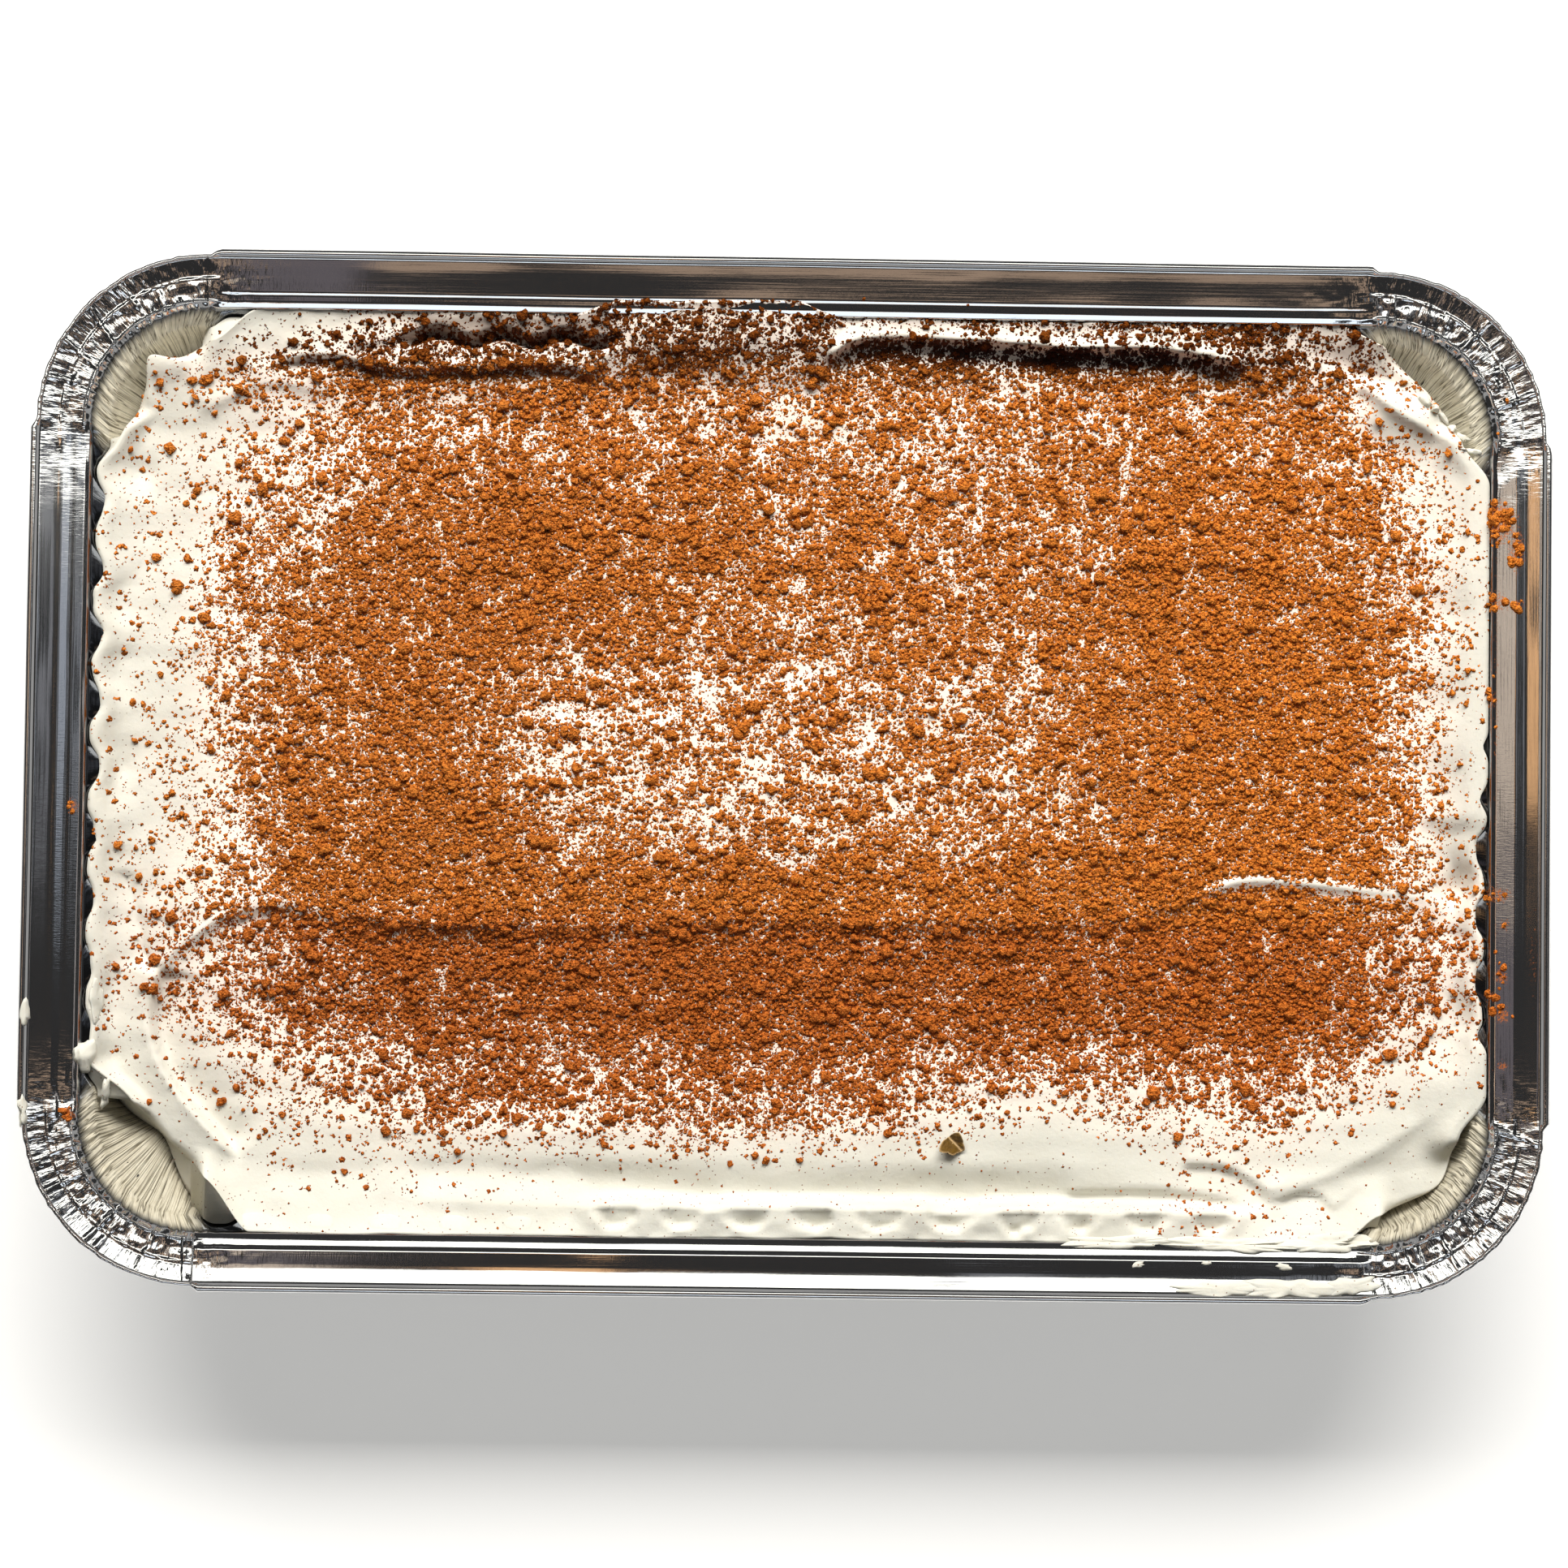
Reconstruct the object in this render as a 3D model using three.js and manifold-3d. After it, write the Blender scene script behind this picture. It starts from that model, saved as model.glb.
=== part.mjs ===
// A tiramisu in the rectangular foil tray that it was made in: a fluted aluminium tray with a stepped,
// rolled rim, filled with one solid of cream whose top is spread in swoops and dusted with cocoa.
// Millimetres, +Z up, the long side along X, the origin on the table under the tray's middle.
import * as THREE from "three";
import { mergeVertices } from "three/addons/utils/BufferGeometryUtils.js";
import Module from "manifold-3d";

const wasm = await Module();
wasm.setup();

// Tray
const TRAY_LENGTH = 315;
const TRAY_WIDTH = 215;
const TRAY_HEIGHT = 44;
const FOIL = 0.5; // wall of the solid, a few sheets of real foil thick
const RIM_STRAIGHT_X = 120.8; // half the straight stretch of the long rim
const RIM_STRAIGHT_Y = 71;
const RIM_ARC_STEPS = 8;

// Rim, as insets from the outer edge and drops below the top
const CURL_RADIUS = 1.3; // rolled edge
const FLANGE_DROP = 0.9;
const FLANGE_INNER = 7.2;
const BEVEL_INNER = 8.5;
const BEVEL_DROP = 2.1;
const STEP_TOP = 9.4;
const STEP_TOP_DROP = 2.6;
const STEP_FOOT = 11.6;
const SHELF_DROP = 5.6;

// Walls, with upright flutes along the four straight sides
const FLUTE_PITCH = 13.65;
const FLUTES_LONG = 18;
const FLUTES_SHORT = 10;
const FLUTE_DEPTH = 2.4;
const POINTS_PER_FLUTE = 4;
const WALL_ARC_STEPS = 6;
const WALL_TOP_INSET = 15.8; // at the ribs between flutes
const WALL_DRAFT = Math.tan(THREE.MathUtils.degToRad(14));
const LOW_WALL_Z = 2.5;
const BASE_INSET = 26.3;

// Cream
const GAP = 0.35; // between the cream and the foil
const CREAM_LEVEL = 34.8;
const CREAM_EDGE_Z = 32.5; // no part of the top's outline lies lower
const CELLS_X = 58;
const CELLS_Y = 42;
const CORNER_CUT = { frontLeft: 44, frontRight: 30, backRight: 31, backLeft: 32 };
const CORNER_FULL = { frontLeft: 26, frontRight: 26, backRight: 26, backLeft: 26 };
const LEDGE_TOP_Z = 14; // where the scooped corners meet the full width
const LEDGE_FOOT_Z = 12;
const CREAM_FOOT_Z = 2.4;
const CREAM_FOOT_INSET = 1.7; // from the tray's base outline to the cream's
const EDGE_ROUND = 6; // width over which the cream falls towards the foil
const EDGE_FALL = 1.1;

// Cocoa lumps and the flake of leaf
const LUMP_SEED = 7;
const LUMP_COLUMNS = 10;
const LUMP_ROWS = 7;
const LUMP_FIELD = { left: -116, right: 128, front: -72, back: 78 };
const LUMP_RADIUS = { least: 0.9, most: 1.9 };
const FLAKE = { x: 35.4, y: -76, length: 4.6, width: 3.4, thickness: 0.5 };

// One crest left by the spatula: its path, its height, and how wide it is behind and in front.
const CRESTS = [
  {
    // the long crest across the whole top, steep towards the front
    path: [
      [-130, -41],
      [-116, -30],
      [-105, -27],
      [-88, -31],
      [-63, -32],
      [14, -30.5],
      [64, -30],
      [90, -22],
      [100, -20.5],
      [139, -24.5],
    ],
    height: 2.1,
    behind: 11,
    front: 4,
  },
  {
    // the bank round the left end of the long trough
    path: [
      [-130, -41],
      [-131.6, -50],
      [-130, -58],
      [-125, -67],
      [-113, -81],
    ],
    height: 1.2,
    behind: 5,
    front: 4,
  },
  {
    // the fold at the back left
    path: [
      [-108, 84],
      [-96, 87],
      [-82, 84.5],
      [-60, 86.5],
      [-47, 87],
      [-41, 83],
    ],
    height: 1.9,
    behind: 6,
    front: 4,
  },
  {
    // the deeper fold at the back right
    path: [
      [8, 87],
      [18, 91],
      [36, 90.5],
      [60, 90],
      [88, 88.5],
      [104, 86],
    ],
    height: 2.3,
    behind: 6,
    front: 4,
  },
  {
    // the bright edge along the front
    path: [
      [-84, -88],
      [-20, -89],
      [23, -88],
      [80, -88],
    ],
    height: 1.3,
    behind: 4,
    front: 4,
  },
  {
    // the lobe of the front right corner
    path: [
      [98, -84],
      [112, -81.5],
      [126, -74],
      [140, -63],
    ],
    height: 1.5,
    behind: 5,
    front: 5,
  },
];

// One rounded dip (or, with a negative depth, one lump): its middle, its half sizes and its turn.
const DIPS = [
  { x: 4, y: -55, alongX: 122, alongY: 19, turn: 0, depth: 1.7 },
  { x: -67, y: -83.4, alongX: 10, alongY: 4, turn: 0, depth: 1.0 },
  { x: -25, y: -83, alongX: 28, alongY: 4.5, turn: -6, depth: 1.3 },
  { x: 40, y: -83, alongX: 34, alongY: 4.5, turn: 0, depth: 1.1 },
  { x: -135, y: -30, alongX: 3.5, alongY: 10, turn: 8, depth: 1.3 },
  { x: -60, y: 74, alongX: 45, alongY: 7, turn: 2, depth: 0.9 },
  { x: 60, y: 80, alongX: 42, alongY: 6, turn: -2, depth: 1.1 },
  { x: 0, y: 25, alongX: 80, alongY: 26, turn: 4, depth: 0.5 },
  { x: 128, y: 76, alongX: 8, alongY: 4.5, turn: -25, depth: -1.5 },
  { x: -131, y: 84, alongX: 4.5, alongY: 4.5, turn: 0, depth: -1.6 },
  { x: -10, y: 90, alongX: 26, alongY: 6, turn: 0, depth: -1.2 },
  { x: 88, y: 44, alongX: 22, alongY: 4, turn: -6, depth: -0.5 },
];

// Loops round the tray. Each point keeps its place on the way round as a key from 0 to 8: the front
// side, the front right corner, the right side and so on, so that loops of unlike counts can be joined.
function roundedLoop({ halfX, halfY, straightX, straightY, z, stepsX, stepsY, arcSteps, swell }) {
  const points = [];
  const sides = [
    { from: [-straightX, -halfY], to: [straightX, -halfY], out: [0, -1], steps: stepsX },
    { from: [halfX, -straightY], to: [halfX, straightY], out: [1, 0], steps: stepsY },
    { from: [straightX, halfY], to: [-straightX, halfY], out: [0, 1], steps: stepsX },
    { from: [-halfX, straightY], to: [-halfX, -straightY], out: [-1, 0], steps: stepsY },
  ];
  sides.forEach((side, index) => {
    for (let i = 0; i < side.steps; i += 1) {
      const share = i / side.steps;
      const out = swell(share, side.steps);
      points.push({
        x: side.from[0] + (side.to[0] - side.from[0]) * share + side.out[0] * out,
        y: side.from[1] + (side.to[1] - side.from[1]) * share + side.out[1] * out,
        z,
        key: 2 * index + share,
      });
    }
    const middleX = straightX * Math.sign(side.to[0]);
    const middleY = straightY * Math.sign(side.to[1]);
    const start = (index - 1) * (Math.PI / 2);
    for (let i = 0; i < arcSteps; i += 1) {
      const angle = start + (i / arcSteps) * (Math.PI / 2);
      points.push({
        x: middleX + (halfX - straightX) * Math.cos(angle),
        y: middleY + (halfY - straightY) * Math.sin(angle),
        z,
        key: 2 * index + 1 + i / arcSteps,
      });
    }
  });
  return points;
}

function rimLoop(inset, drop) {
  return roundedLoop({
    halfX: TRAY_LENGTH / 2 - inset,
    halfY: TRAY_WIDTH / 2 - inset,
    straightX: RIM_STRAIGHT_X,
    straightY: RIM_STRAIGHT_Y,
    z: TRAY_HEIGHT - drop,
    stepsX: 1,
    stepsY: 1,
    arcSteps: RIM_ARC_STEPS,
    swell: () => 0,
  });
}

function wallLoop(inset, z, depth) {
  return roundedLoop({
    halfX: TRAY_LENGTH / 2 - inset,
    halfY: TRAY_WIDTH / 2 - inset,
    straightX: (FLUTES_LONG * FLUTE_PITCH) / 2,
    straightY: (FLUTES_SHORT * FLUTE_PITCH) / 2,
    z,
    stepsX: FLUTES_LONG * POINTS_PER_FLUTE,
    stepsY: FLUTES_SHORT * POINTS_PER_FLUTE,
    arcSteps: WALL_ARC_STEPS,
    swell: (share, steps) => {
      const turns = (share * steps) / POINTS_PER_FLUTE;
      return (depth / 2) * (1 - Math.cos(2 * Math.PI * turns));
    },
  });
}

// Joins loops into one closed skin. Each loop runs anticlockwise seen from above, and the skin's
// outside is on the right of the way from one loop to the next.
class Skin {
  constructor() {
    this.places = [];
    this.faces = [];
  }

  point(p) {
    this.places.push(p.x, p.y, p.z);
    return this.places.length / 3 - 1;
  }

  loop(points) {
    return points.map((p) => ({ at: this.point(p), key: p.key }));
  }

  join(a, b) {
    let i = 0;
    let j = 0;
    while (i < a.length || j < b.length) {
      const nextA = i + 1 < a.length ? a[i + 1].key : 8;
      const nextB = j + 1 < b.length ? b[j + 1].key : 8;
      const here = a[i % a.length].at;
      const there = b[j % b.length].at;
      if (j >= b.length || (i < a.length && nextA <= nextB)) {
        this.faces.push(here, a[(i + 1) % a.length].at, there);
        i += 1;
      } else {
        this.faces.push(here, b[(j + 1) % b.length].at, there);
        j += 1;
      }
    }
  }

  cap(loop, z, up) {
    const middle = this.point({ x: 0, y: 0, z });
    loop.forEach((p, i) => {
      const next = loop[(i + 1) % loop.length];
      this.faces.push(...(up ? [middle, p.at, next.at] : [middle, next.at, p.at]));
    });
  }

  geometry() {
    const made = new THREE.BufferGeometry();
    made.setAttribute("position", new THREE.Float32BufferAttribute(this.places, 3));
    made.setIndex(this.faces);
    return made;
  }
}

function trayGeometry() {
  const skin = new Skin();
  const shelfZ = TRAY_HEIGHT - SHELF_DROP;
  const lowInset = WALL_TOP_INSET + (shelfZ - LOW_WALL_Z) * WALL_DRAFT;
  const outerBase = wallLoop(BASE_INSET - FOIL / 2, 0, 0);
  const innerBase = wallLoop(BASE_INSET, FOIL, 0);
  const loops = [
    outerBase,
    wallLoop(lowInset - FOIL, LOW_WALL_Z, FLUTE_DEPTH),
    wallLoop(WALL_TOP_INSET - FOIL, shelfZ - FOIL, FLUTE_DEPTH),
    rimLoop(STEP_FOOT - FOIL / 2, SHELF_DROP + FOIL),
    rimLoop(STEP_TOP - FOIL / 2, STEP_TOP_DROP + FOIL),
    rimLoop(BEVEL_INNER - FOIL / 2, BEVEL_DROP + FOIL),
    rimLoop(FLANGE_INNER - FOIL / 2, FLANGE_DROP + FOIL),
    rimLoop(2.4 * CURL_RADIUS, FLANGE_DROP + FOIL),
  ];
  // the rolled edge, from under the flange round to its top
  const turns = [-50, -90, -135, 180, 135, 90];
  for (const turn of turns) {
    const angle = THREE.MathUtils.degToRad(turn);
    loops.push(
      rimLoop(CURL_RADIUS + CURL_RADIUS * Math.cos(angle), CURL_RADIUS - CURL_RADIUS * Math.sin(angle)),
    );
  }
  loops.push(
    rimLoop(2.3 * CURL_RADIUS, FLANGE_DROP),
    rimLoop(FLANGE_INNER, FLANGE_DROP),
    rimLoop(BEVEL_INNER, BEVEL_DROP),
    rimLoop(STEP_TOP, STEP_TOP_DROP),
    rimLoop(STEP_FOOT, SHELF_DROP),
    wallLoop(WALL_TOP_INSET, shelfZ, FLUTE_DEPTH),
    wallLoop(lowInset, LOW_WALL_Z, FLUTE_DEPTH),
    innerBase,
  );
  const laid = loops.map((points) => skin.loop(points));
  for (let i = 0; i + 1 < laid.length; i += 1) {
    skin.join(laid[i], laid[i + 1]);
  }
  skin.cap(laid[0], 0, false);
  skin.cap(laid[laid.length - 1], FOIL, true);
  return skin.geometry();
}

// How far a point lies from a path, and on which side: behind (+) or in front (-) of its way.
function offsetFrom(line, x, y) {
  let best = { away: Infinity, side: 1 };
  for (let i = 0; i + 1 < line.length; i += 1) {
    const dx = line[i + 1].x - line[i].x;
    const dy = line[i + 1].y - line[i].y;
    const px = x - line[i].x;
    const py = y - line[i].y;
    const share = THREE.MathUtils.clamp((px * dx + py * dy) / (dx * dx + dy * dy), 0, 1);
    const away = Math.hypot(px - dx * share, py - dy * share);
    if (away < best.away) {
      best = { away, side: dx * py - dy * px >= 0 ? 1 : -1 };
    }
  }
  return best;
}

const crestLines = CRESTS.map((crest) => {
  const curve = new THREE.CatmullRomCurve3(crest.path.map(([x, y]) => new THREE.Vector3(x, y, 0)));
  return curve.getPoints(crest.path.length * 3);
});

// The cream's height at a point, where edge is the distance to its outline.
function creamHeight(x, y, edge) {
  let z = CREAM_LEVEL;
  CRESTS.forEach((crest, i) => {
    const { away, side } = offsetFrom(crestLines[i], x, y);
    const width = side > 0 ? crest.behind : crest.front;
    z += crest.height * Math.exp(-((away / width) ** 2));
  });
  for (const dip of DIPS) {
    const turn = THREE.MathUtils.degToRad(dip.turn);
    const along = ((x - dip.x) * Math.cos(turn) + (y - dip.y) * Math.sin(turn)) / dip.alongX;
    const across = ((y - dip.y) * Math.cos(turn) - (x - dip.x) * Math.sin(turn)) / dip.alongY;
    z -= dip.depth * Math.exp(-(along ** 4) - across ** 2);
  }
  z += 0.25 * Math.sin(x / 13 + y / 21) + 0.2 * Math.sin(y / 9 - x / 17);
  return z - EDGE_FALL * Math.max(0, 1 - edge / EDGE_ROUND) ** 2;
}

// A square grid's point, moved into the rounded corners of the outline.
function roundedPlace(gridX, gridY, halfX, halfY, cuts) {
  const side = gridY < 0 ? "front" : "back";
  const cut = cuts[side + (gridX < 0 ? "Left" : "Right")];
  const p = (Math.abs(gridX) - (halfX - cut)) / cut;
  const q = (Math.abs(gridY) - (halfY - cut)) / cut;
  if (p <= 0 || q <= 0) {
    return { x: gridX, y: gridY };
  }
  return {
    x: Math.sign(gridX) * (halfX - cut + cut * p * Math.sqrt(1 - (q * q) / 2)),
    y: Math.sign(gridY) * (halfY - cut + cut * q * Math.sqrt(1 - (p * p) / 2)),
  };
}

function shrunk(cuts, by) {
  return Object.fromEntries(Object.entries(cuts).map(([corner, cut]) => [corner, cut - by]));
}

function creamGeometry() {
  const skin = new Skin();
  const insetAt = (z) => WALL_TOP_INSET + GAP + (TRAY_HEIGHT - SHELF_DROP - z) * WALL_DRAFT;
  const halfX = TRAY_LENGTH / 2 - insetAt(CREAM_EDGE_Z);
  const halfY = TRAY_WIDTH / 2 - insetAt(CREAM_EDGE_Z);

  const gridPlace = (i, j) => [(2 * i) / CELLS_X - 1, (2 * j) / CELLS_Y - 1];
  const top = [];
  for (let j = 0; j <= CELLS_Y; j += 1) {
    for (let i = 0; i <= CELLS_X; i += 1) {
      const [u, v] = gridPlace(i, j);
      const { x, y } = roundedPlace(u * halfX, v * halfY, halfX, halfY, CORNER_CUT);
      const edge = Math.min((1 - Math.abs(u)) * halfX, (1 - Math.abs(v)) * halfY);
      top.push(skin.point({ x, y, z: creamHeight(x, y, edge) }));
    }
  }
  const at = (i, j) => top[j * (CELLS_X + 1) + i];
  for (let j = 0; j < CELLS_Y; j += 1) {
    for (let i = 0; i < CELLS_X; i += 1) {
      skin.faces.push(at(i, j), at(i + 1, j), at(i + 1, j + 1));
      skin.faces.push(at(i, j), at(i + 1, j + 1), at(i, j + 1));
    }
  }

  // the way round the grid's border, anticlockwise from the front left corner
  const border = [];
  for (let i = 0; i < CELLS_X; i += 1) border.push([i, 0]);
  for (let j = 0; j < CELLS_Y; j += 1) border.push([CELLS_X, j]);
  for (let i = CELLS_X; i > 0; i -= 1) border.push([i, CELLS_Y]);
  for (let j = CELLS_Y; j > 0; j -= 1) border.push([0, j]);

  const key = (index) => (8 * index) / border.length;
  const ring = (z, inset, cuts) => {
    const ringX = TRAY_LENGTH / 2 - inset;
    const ringY = TRAY_WIDTH / 2 - inset;
    return skin.loop(
      border.map(([i, j], index) => {
        const [u, v] = gridPlace(i, j);
        return { ...roundedPlace(u * ringX, v * ringY, ringX, ringY, cuts), z, key: key(index) };
      }),
    );
  };
  const narrowing = (z) => insetAt(z) - insetAt(CREAM_EDGE_Z);
  const footCuts = shrunk(CORNER_FULL, narrowing(CREAM_FOOT_Z));
  const rings = [
    ring(FOIL + GAP, BASE_INSET + CREAM_FOOT_INSET, footCuts),
    ring(CREAM_FOOT_Z, insetAt(CREAM_FOOT_Z), footCuts),
    ring(LEDGE_FOOT_Z, insetAt(LEDGE_FOOT_Z), shrunk(CORNER_FULL, narrowing(LEDGE_FOOT_Z))),
    ring(LEDGE_TOP_Z, insetAt(LEDGE_TOP_Z), shrunk(CORNER_CUT, narrowing(LEDGE_TOP_Z))),
    border.map(([i, j], index) => ({ at: at(i, j), key: key(index) })),
  ];
  for (let i = 0; i + 1 < rings.length; i += 1) {
    skin.join(rings[i], rings[i + 1]);
  }
  skin.cap(rings[0], FOIL + GAP, false);
  return skin.geometry();
}

// Numbers from 0 to 1 that are the same each time.
function seededDraw(seed) {
  let state = seed;
  return () => {
    state = (state * 1664525 + 1013904223) % 4294967296;
    return state / 4294967296;
  };
}

// The largest cocoa lumps, one in each cell of a loose grid over the dusted field.
function lumpGeometries() {
  const draw = seededDraw(LUMP_SEED);
  const cellX = (LUMP_FIELD.right - LUMP_FIELD.left) / LUMP_COLUMNS;
  const cellY = (LUMP_FIELD.back - LUMP_FIELD.front) / LUMP_ROWS;
  const made = [];
  for (let row = 0; row < LUMP_ROWS; row += 1) {
    for (let column = 0; column < LUMP_COLUMNS; column += 1) {
      const x = LUMP_FIELD.left + (column + 0.15 + 0.7 * draw()) * cellX;
      const y = LUMP_FIELD.front + (row + 0.15 + 0.7 * draw()) * cellY;
      const radius = THREE.MathUtils.lerp(LUMP_RADIUS.least, LUMP_RADIUS.most, draw() ** 2);
      const lump = new THREE.IcosahedronGeometry(radius, 0);
      lump.scale(1, 0.7 + 0.3 * draw(), 0.75);
      lump.rotateZ(2 * Math.PI * draw());
      lump.translate(x, y, creamHeight(x, y, EDGE_ROUND) + 0.1 * radius);
      made.push(lump);
    }
  }
  return made;
}

// The dry flake of leaf near the front, a thin bent slip that stands a little out of the cream.
function flakeGeometry() {
  const flake = new THREE.BoxGeometry(FLAKE.length, FLAKE.width, FLAKE.thickness, 2, 1, 1);
  const places = flake.attributes.position;
  for (let i = 0; i < places.count; i += 1) {
    const along = places.getX(i) / (FLAKE.length / 2);
    places.setY(i, places.getY(i) * (1 - 0.45 * Math.abs(along)));
    places.setZ(i, places.getZ(i) + 0.4 * (1 - along * along));
  }
  flake.rotateX(THREE.MathUtils.degToRad(12));
  flake.rotateZ(THREE.MathUtils.degToRad(35));
  flake.translate(FLAKE.x, FLAKE.y, creamHeight(FLAKE.x, FLAKE.y, EDGE_ROUND) + 0.1);
  return flake;
}

function solidOf(geometry) {
  const bare = geometry.index ? geometry.toNonIndexed() : geometry;
  const places = new THREE.BufferGeometry().setAttribute("position", bare.getAttribute("position"));
  const merged = mergeVertices(places, 1e-4);
  return new wasm.Manifold(
    new wasm.Mesh({
      numProp: 3,
      vertProperties: new Float32Array(merged.attributes.position.array),
      triVerts: new Uint32Array(merged.index.array),
    }),
  );
}

function geometryOf(solid) {
  const mesh = solid.getMesh();
  const made = new THREE.BufferGeometry();
  made.setAttribute("position", new THREE.Float32BufferAttribute(mesh.vertProperties, 3));
  made.setIndex(new THREE.Uint32BufferAttribute(mesh.triVerts, 1));
  return made;
}

// The cream with its lumps and flake fused on.
function dustedCreamGeometry() {
  let cream = solidOf(creamGeometry());
  for (const topping of [...lumpGeometries(), flakeGeometry()]) {
    cream = cream.add(solidOf(topping));
  }
  return geometryOf(cream);
}

const foil = new THREE.MeshStandardMaterial({ color: 0xb9babd, metalness: 1, roughness: 0.28 });
const dustedCream = new THREE.MeshStandardMaterial({ color: 0xc99a6b, metalness: 0, roughness: 0.85 });

const tray = new THREE.Mesh(trayGeometry(), foil);
tray.name = "foil_tray";
const cream = new THREE.Mesh(dustedCreamGeometry(), dustedCream);
cream.name = "tiramisu_cream";

const tiramisu = new THREE.Group();
tiramisu.add(tray, cream);

export default tiramisu;
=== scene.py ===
"""A tiramisu in the fluted foil tray that it was made in, seen from above.

Laid out as an add-on: settings, one operator for each piece or group of like pieces, one for the
stage, and a panel. Shapes are worked out in millimetres, with the tray's long side along X and its
front along -Y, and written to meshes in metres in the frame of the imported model.
"""

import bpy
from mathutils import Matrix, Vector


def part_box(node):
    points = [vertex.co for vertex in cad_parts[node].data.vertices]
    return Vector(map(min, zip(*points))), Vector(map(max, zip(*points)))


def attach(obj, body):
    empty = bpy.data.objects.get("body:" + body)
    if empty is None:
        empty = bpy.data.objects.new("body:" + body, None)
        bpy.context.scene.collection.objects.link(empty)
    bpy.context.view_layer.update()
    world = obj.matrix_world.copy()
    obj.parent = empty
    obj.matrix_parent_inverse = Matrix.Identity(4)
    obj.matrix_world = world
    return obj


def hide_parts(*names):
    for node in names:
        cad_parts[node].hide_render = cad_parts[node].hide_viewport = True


bl_info = {
    "name": "Tiramisu in a foil tray",
    "version": (1, 0, 0),
    "blender": (4, 5, 0),
    "location": "View3D > Sidebar > Tiramisu",
    "description": "Makes a cocoa-dusted tiramisu in a pleated foil tray, with its stage",
    "category": "Add Mesh",
}

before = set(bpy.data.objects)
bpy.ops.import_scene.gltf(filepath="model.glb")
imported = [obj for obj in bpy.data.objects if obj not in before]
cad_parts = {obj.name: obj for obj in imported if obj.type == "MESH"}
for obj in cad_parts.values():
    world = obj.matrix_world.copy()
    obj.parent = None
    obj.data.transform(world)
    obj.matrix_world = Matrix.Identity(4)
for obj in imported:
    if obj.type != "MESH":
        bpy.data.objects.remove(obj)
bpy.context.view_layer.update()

import math

import bpy
import numpy as np
from bpy.props import FloatProperty, FloatVectorProperty, IntProperty, PointerProperty
from bpy.types import Operator, Panel, PropertyGroup
from mathutils import Euler, Vector
from mathutils.bvhtree import BVHTree

MM = 0.001
TRAY_LOW, TRAY_HIGH = (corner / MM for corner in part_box("foil_tray"))
HALF_X = (TRAY_HIGH.x - TRAY_LOW.x) / 2
HALF_Y = (TRAY_HIGH.y - TRAY_LOW.y) / 2
TOP_Z = TRAY_HIGH.z

# Rim and walls, in millimetres; insets are measured from the outer edge
RIM_STRAIGHT = (120.8, 71.0)
CURL_RADIUS = 0.95
RIM_END_INSET = 12.2
FLUTE_PITCH = 13.65
FLUTES = (18, 10)
FLUTE_DEPTH = 2.4
WALL_STRAIGHT = (FLUTES[0] * FLUTE_PITCH / 2, FLUTES[1] * FLUTE_PITCH / 2)
WALL_TOP_INSET = 15.4
SHELF_Z = TOP_Z - 5.6
WALL_DRAFT = math.tan(math.radians(14))
LOW_WALL_Z = 2.5
BASE_INSET = 26.3
RIDGE_WIDTH = 11.0
FLOOR_RISE = 0.7
# In the corners the wall leans in more: by what share of its radius, from which height down and
# over how far
CORNER_LEAN = {
    "front_right": (0.3, 33.5, 10.0),
    "back_right": (0.3, 33.5, 10.0),
    "back_left": (0.3, 33.5, 10.0),
    "front_left": (0.5, 37.4, 9.5),
}

# The rim's section, as (inset, drop below the top): pressed straight along the sides, and
# gathered into pleats round the corners
SIDE_SECTION = [
    (1.85, 0.75),
    (2.35, 0.96),
    (5.4, 1.58),
    (6.7, 1.67),
    (6.9, 1.73),
    (7.9, 2.07),
    (8.1, 2.12),
    (9.2, 2.2),
    (9.4, 2.26),
    (10.7, 2.61),
    (11.0, 2.72),
    (12.0, 3.22),
    (12.2, 4.95),
]
# It isn't pressed quite alike on the four sides
FRONT_SECTION = [*SIDE_SECTION[:3], (8.8, 1.82), *SIDE_SECTION[8:]]
BACK_SECTION = [SIDE_SECTION[0], (4.0, 1.18), (8.9, 2.01), (9.4, 2.3), *SIDE_SECTION[9:]]
LEFT_SECTION = [
    *SIDE_SECTION[:3],
    (6.7, 1.75),
    (8.5, 2.36),
    (9.4, 2.495),
    (10.7, 2.845),
    (11.0, 2.925),
    (12.0, 3.385),
    (12.2, 4.95),
]
RIGHT_SECTION = [
    *SIDE_SECTION[:3],
    (7.3, 1.7),
    (7.5, 1.75),
    (11.0, 2.69),
    (12.0, 3.22),
    (12.2, 4.95),
]
# The share of the sheet's rows that lie on its outside
OUTSIDE_SHARE = 0.36
CORNER_SECTION = [
    (1.85, 0.55),
    (5.9, 1.72),
    (6.1, 1.52),
    (6.4, 1.76),
    (10.5, 2.2),
    (10.9, 1.9),
    (11.3, 2.3),
    (12.2, 3.1),
]

# Cream
CREAM_GAP = 0.35
CREAM_LEVEL = 34.8
CREAM_EDGE_Z = 32.5
FOOT_Z = 0.9
CORNER_CUT = {"front_left": 30.0, "front_right": 24.0, "back_right": 26.5, "back_left": 28.0}
# How nearly straight the cream's outline is across a corner: 0 is round
CORNER_FLAT = {"front_left": 0.68, "front_right": 0.0, "back_right": 0.0, "back_left": 0.0}
# Below the lip: height, how far out towards the wall, how far into the flutes, and how soaked
CREAM_RINGS = (
    (29.6, 0.78, 0.8, 0.1),
    (28.6, 1.0, 0.9, 0.45),
    (21.0, 1.0, 0.9, 1.0),
    (14.0, 1.0, 0.9, 1.0),
    (2.4, 1.0, 0.5, 1.0),
)

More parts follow.
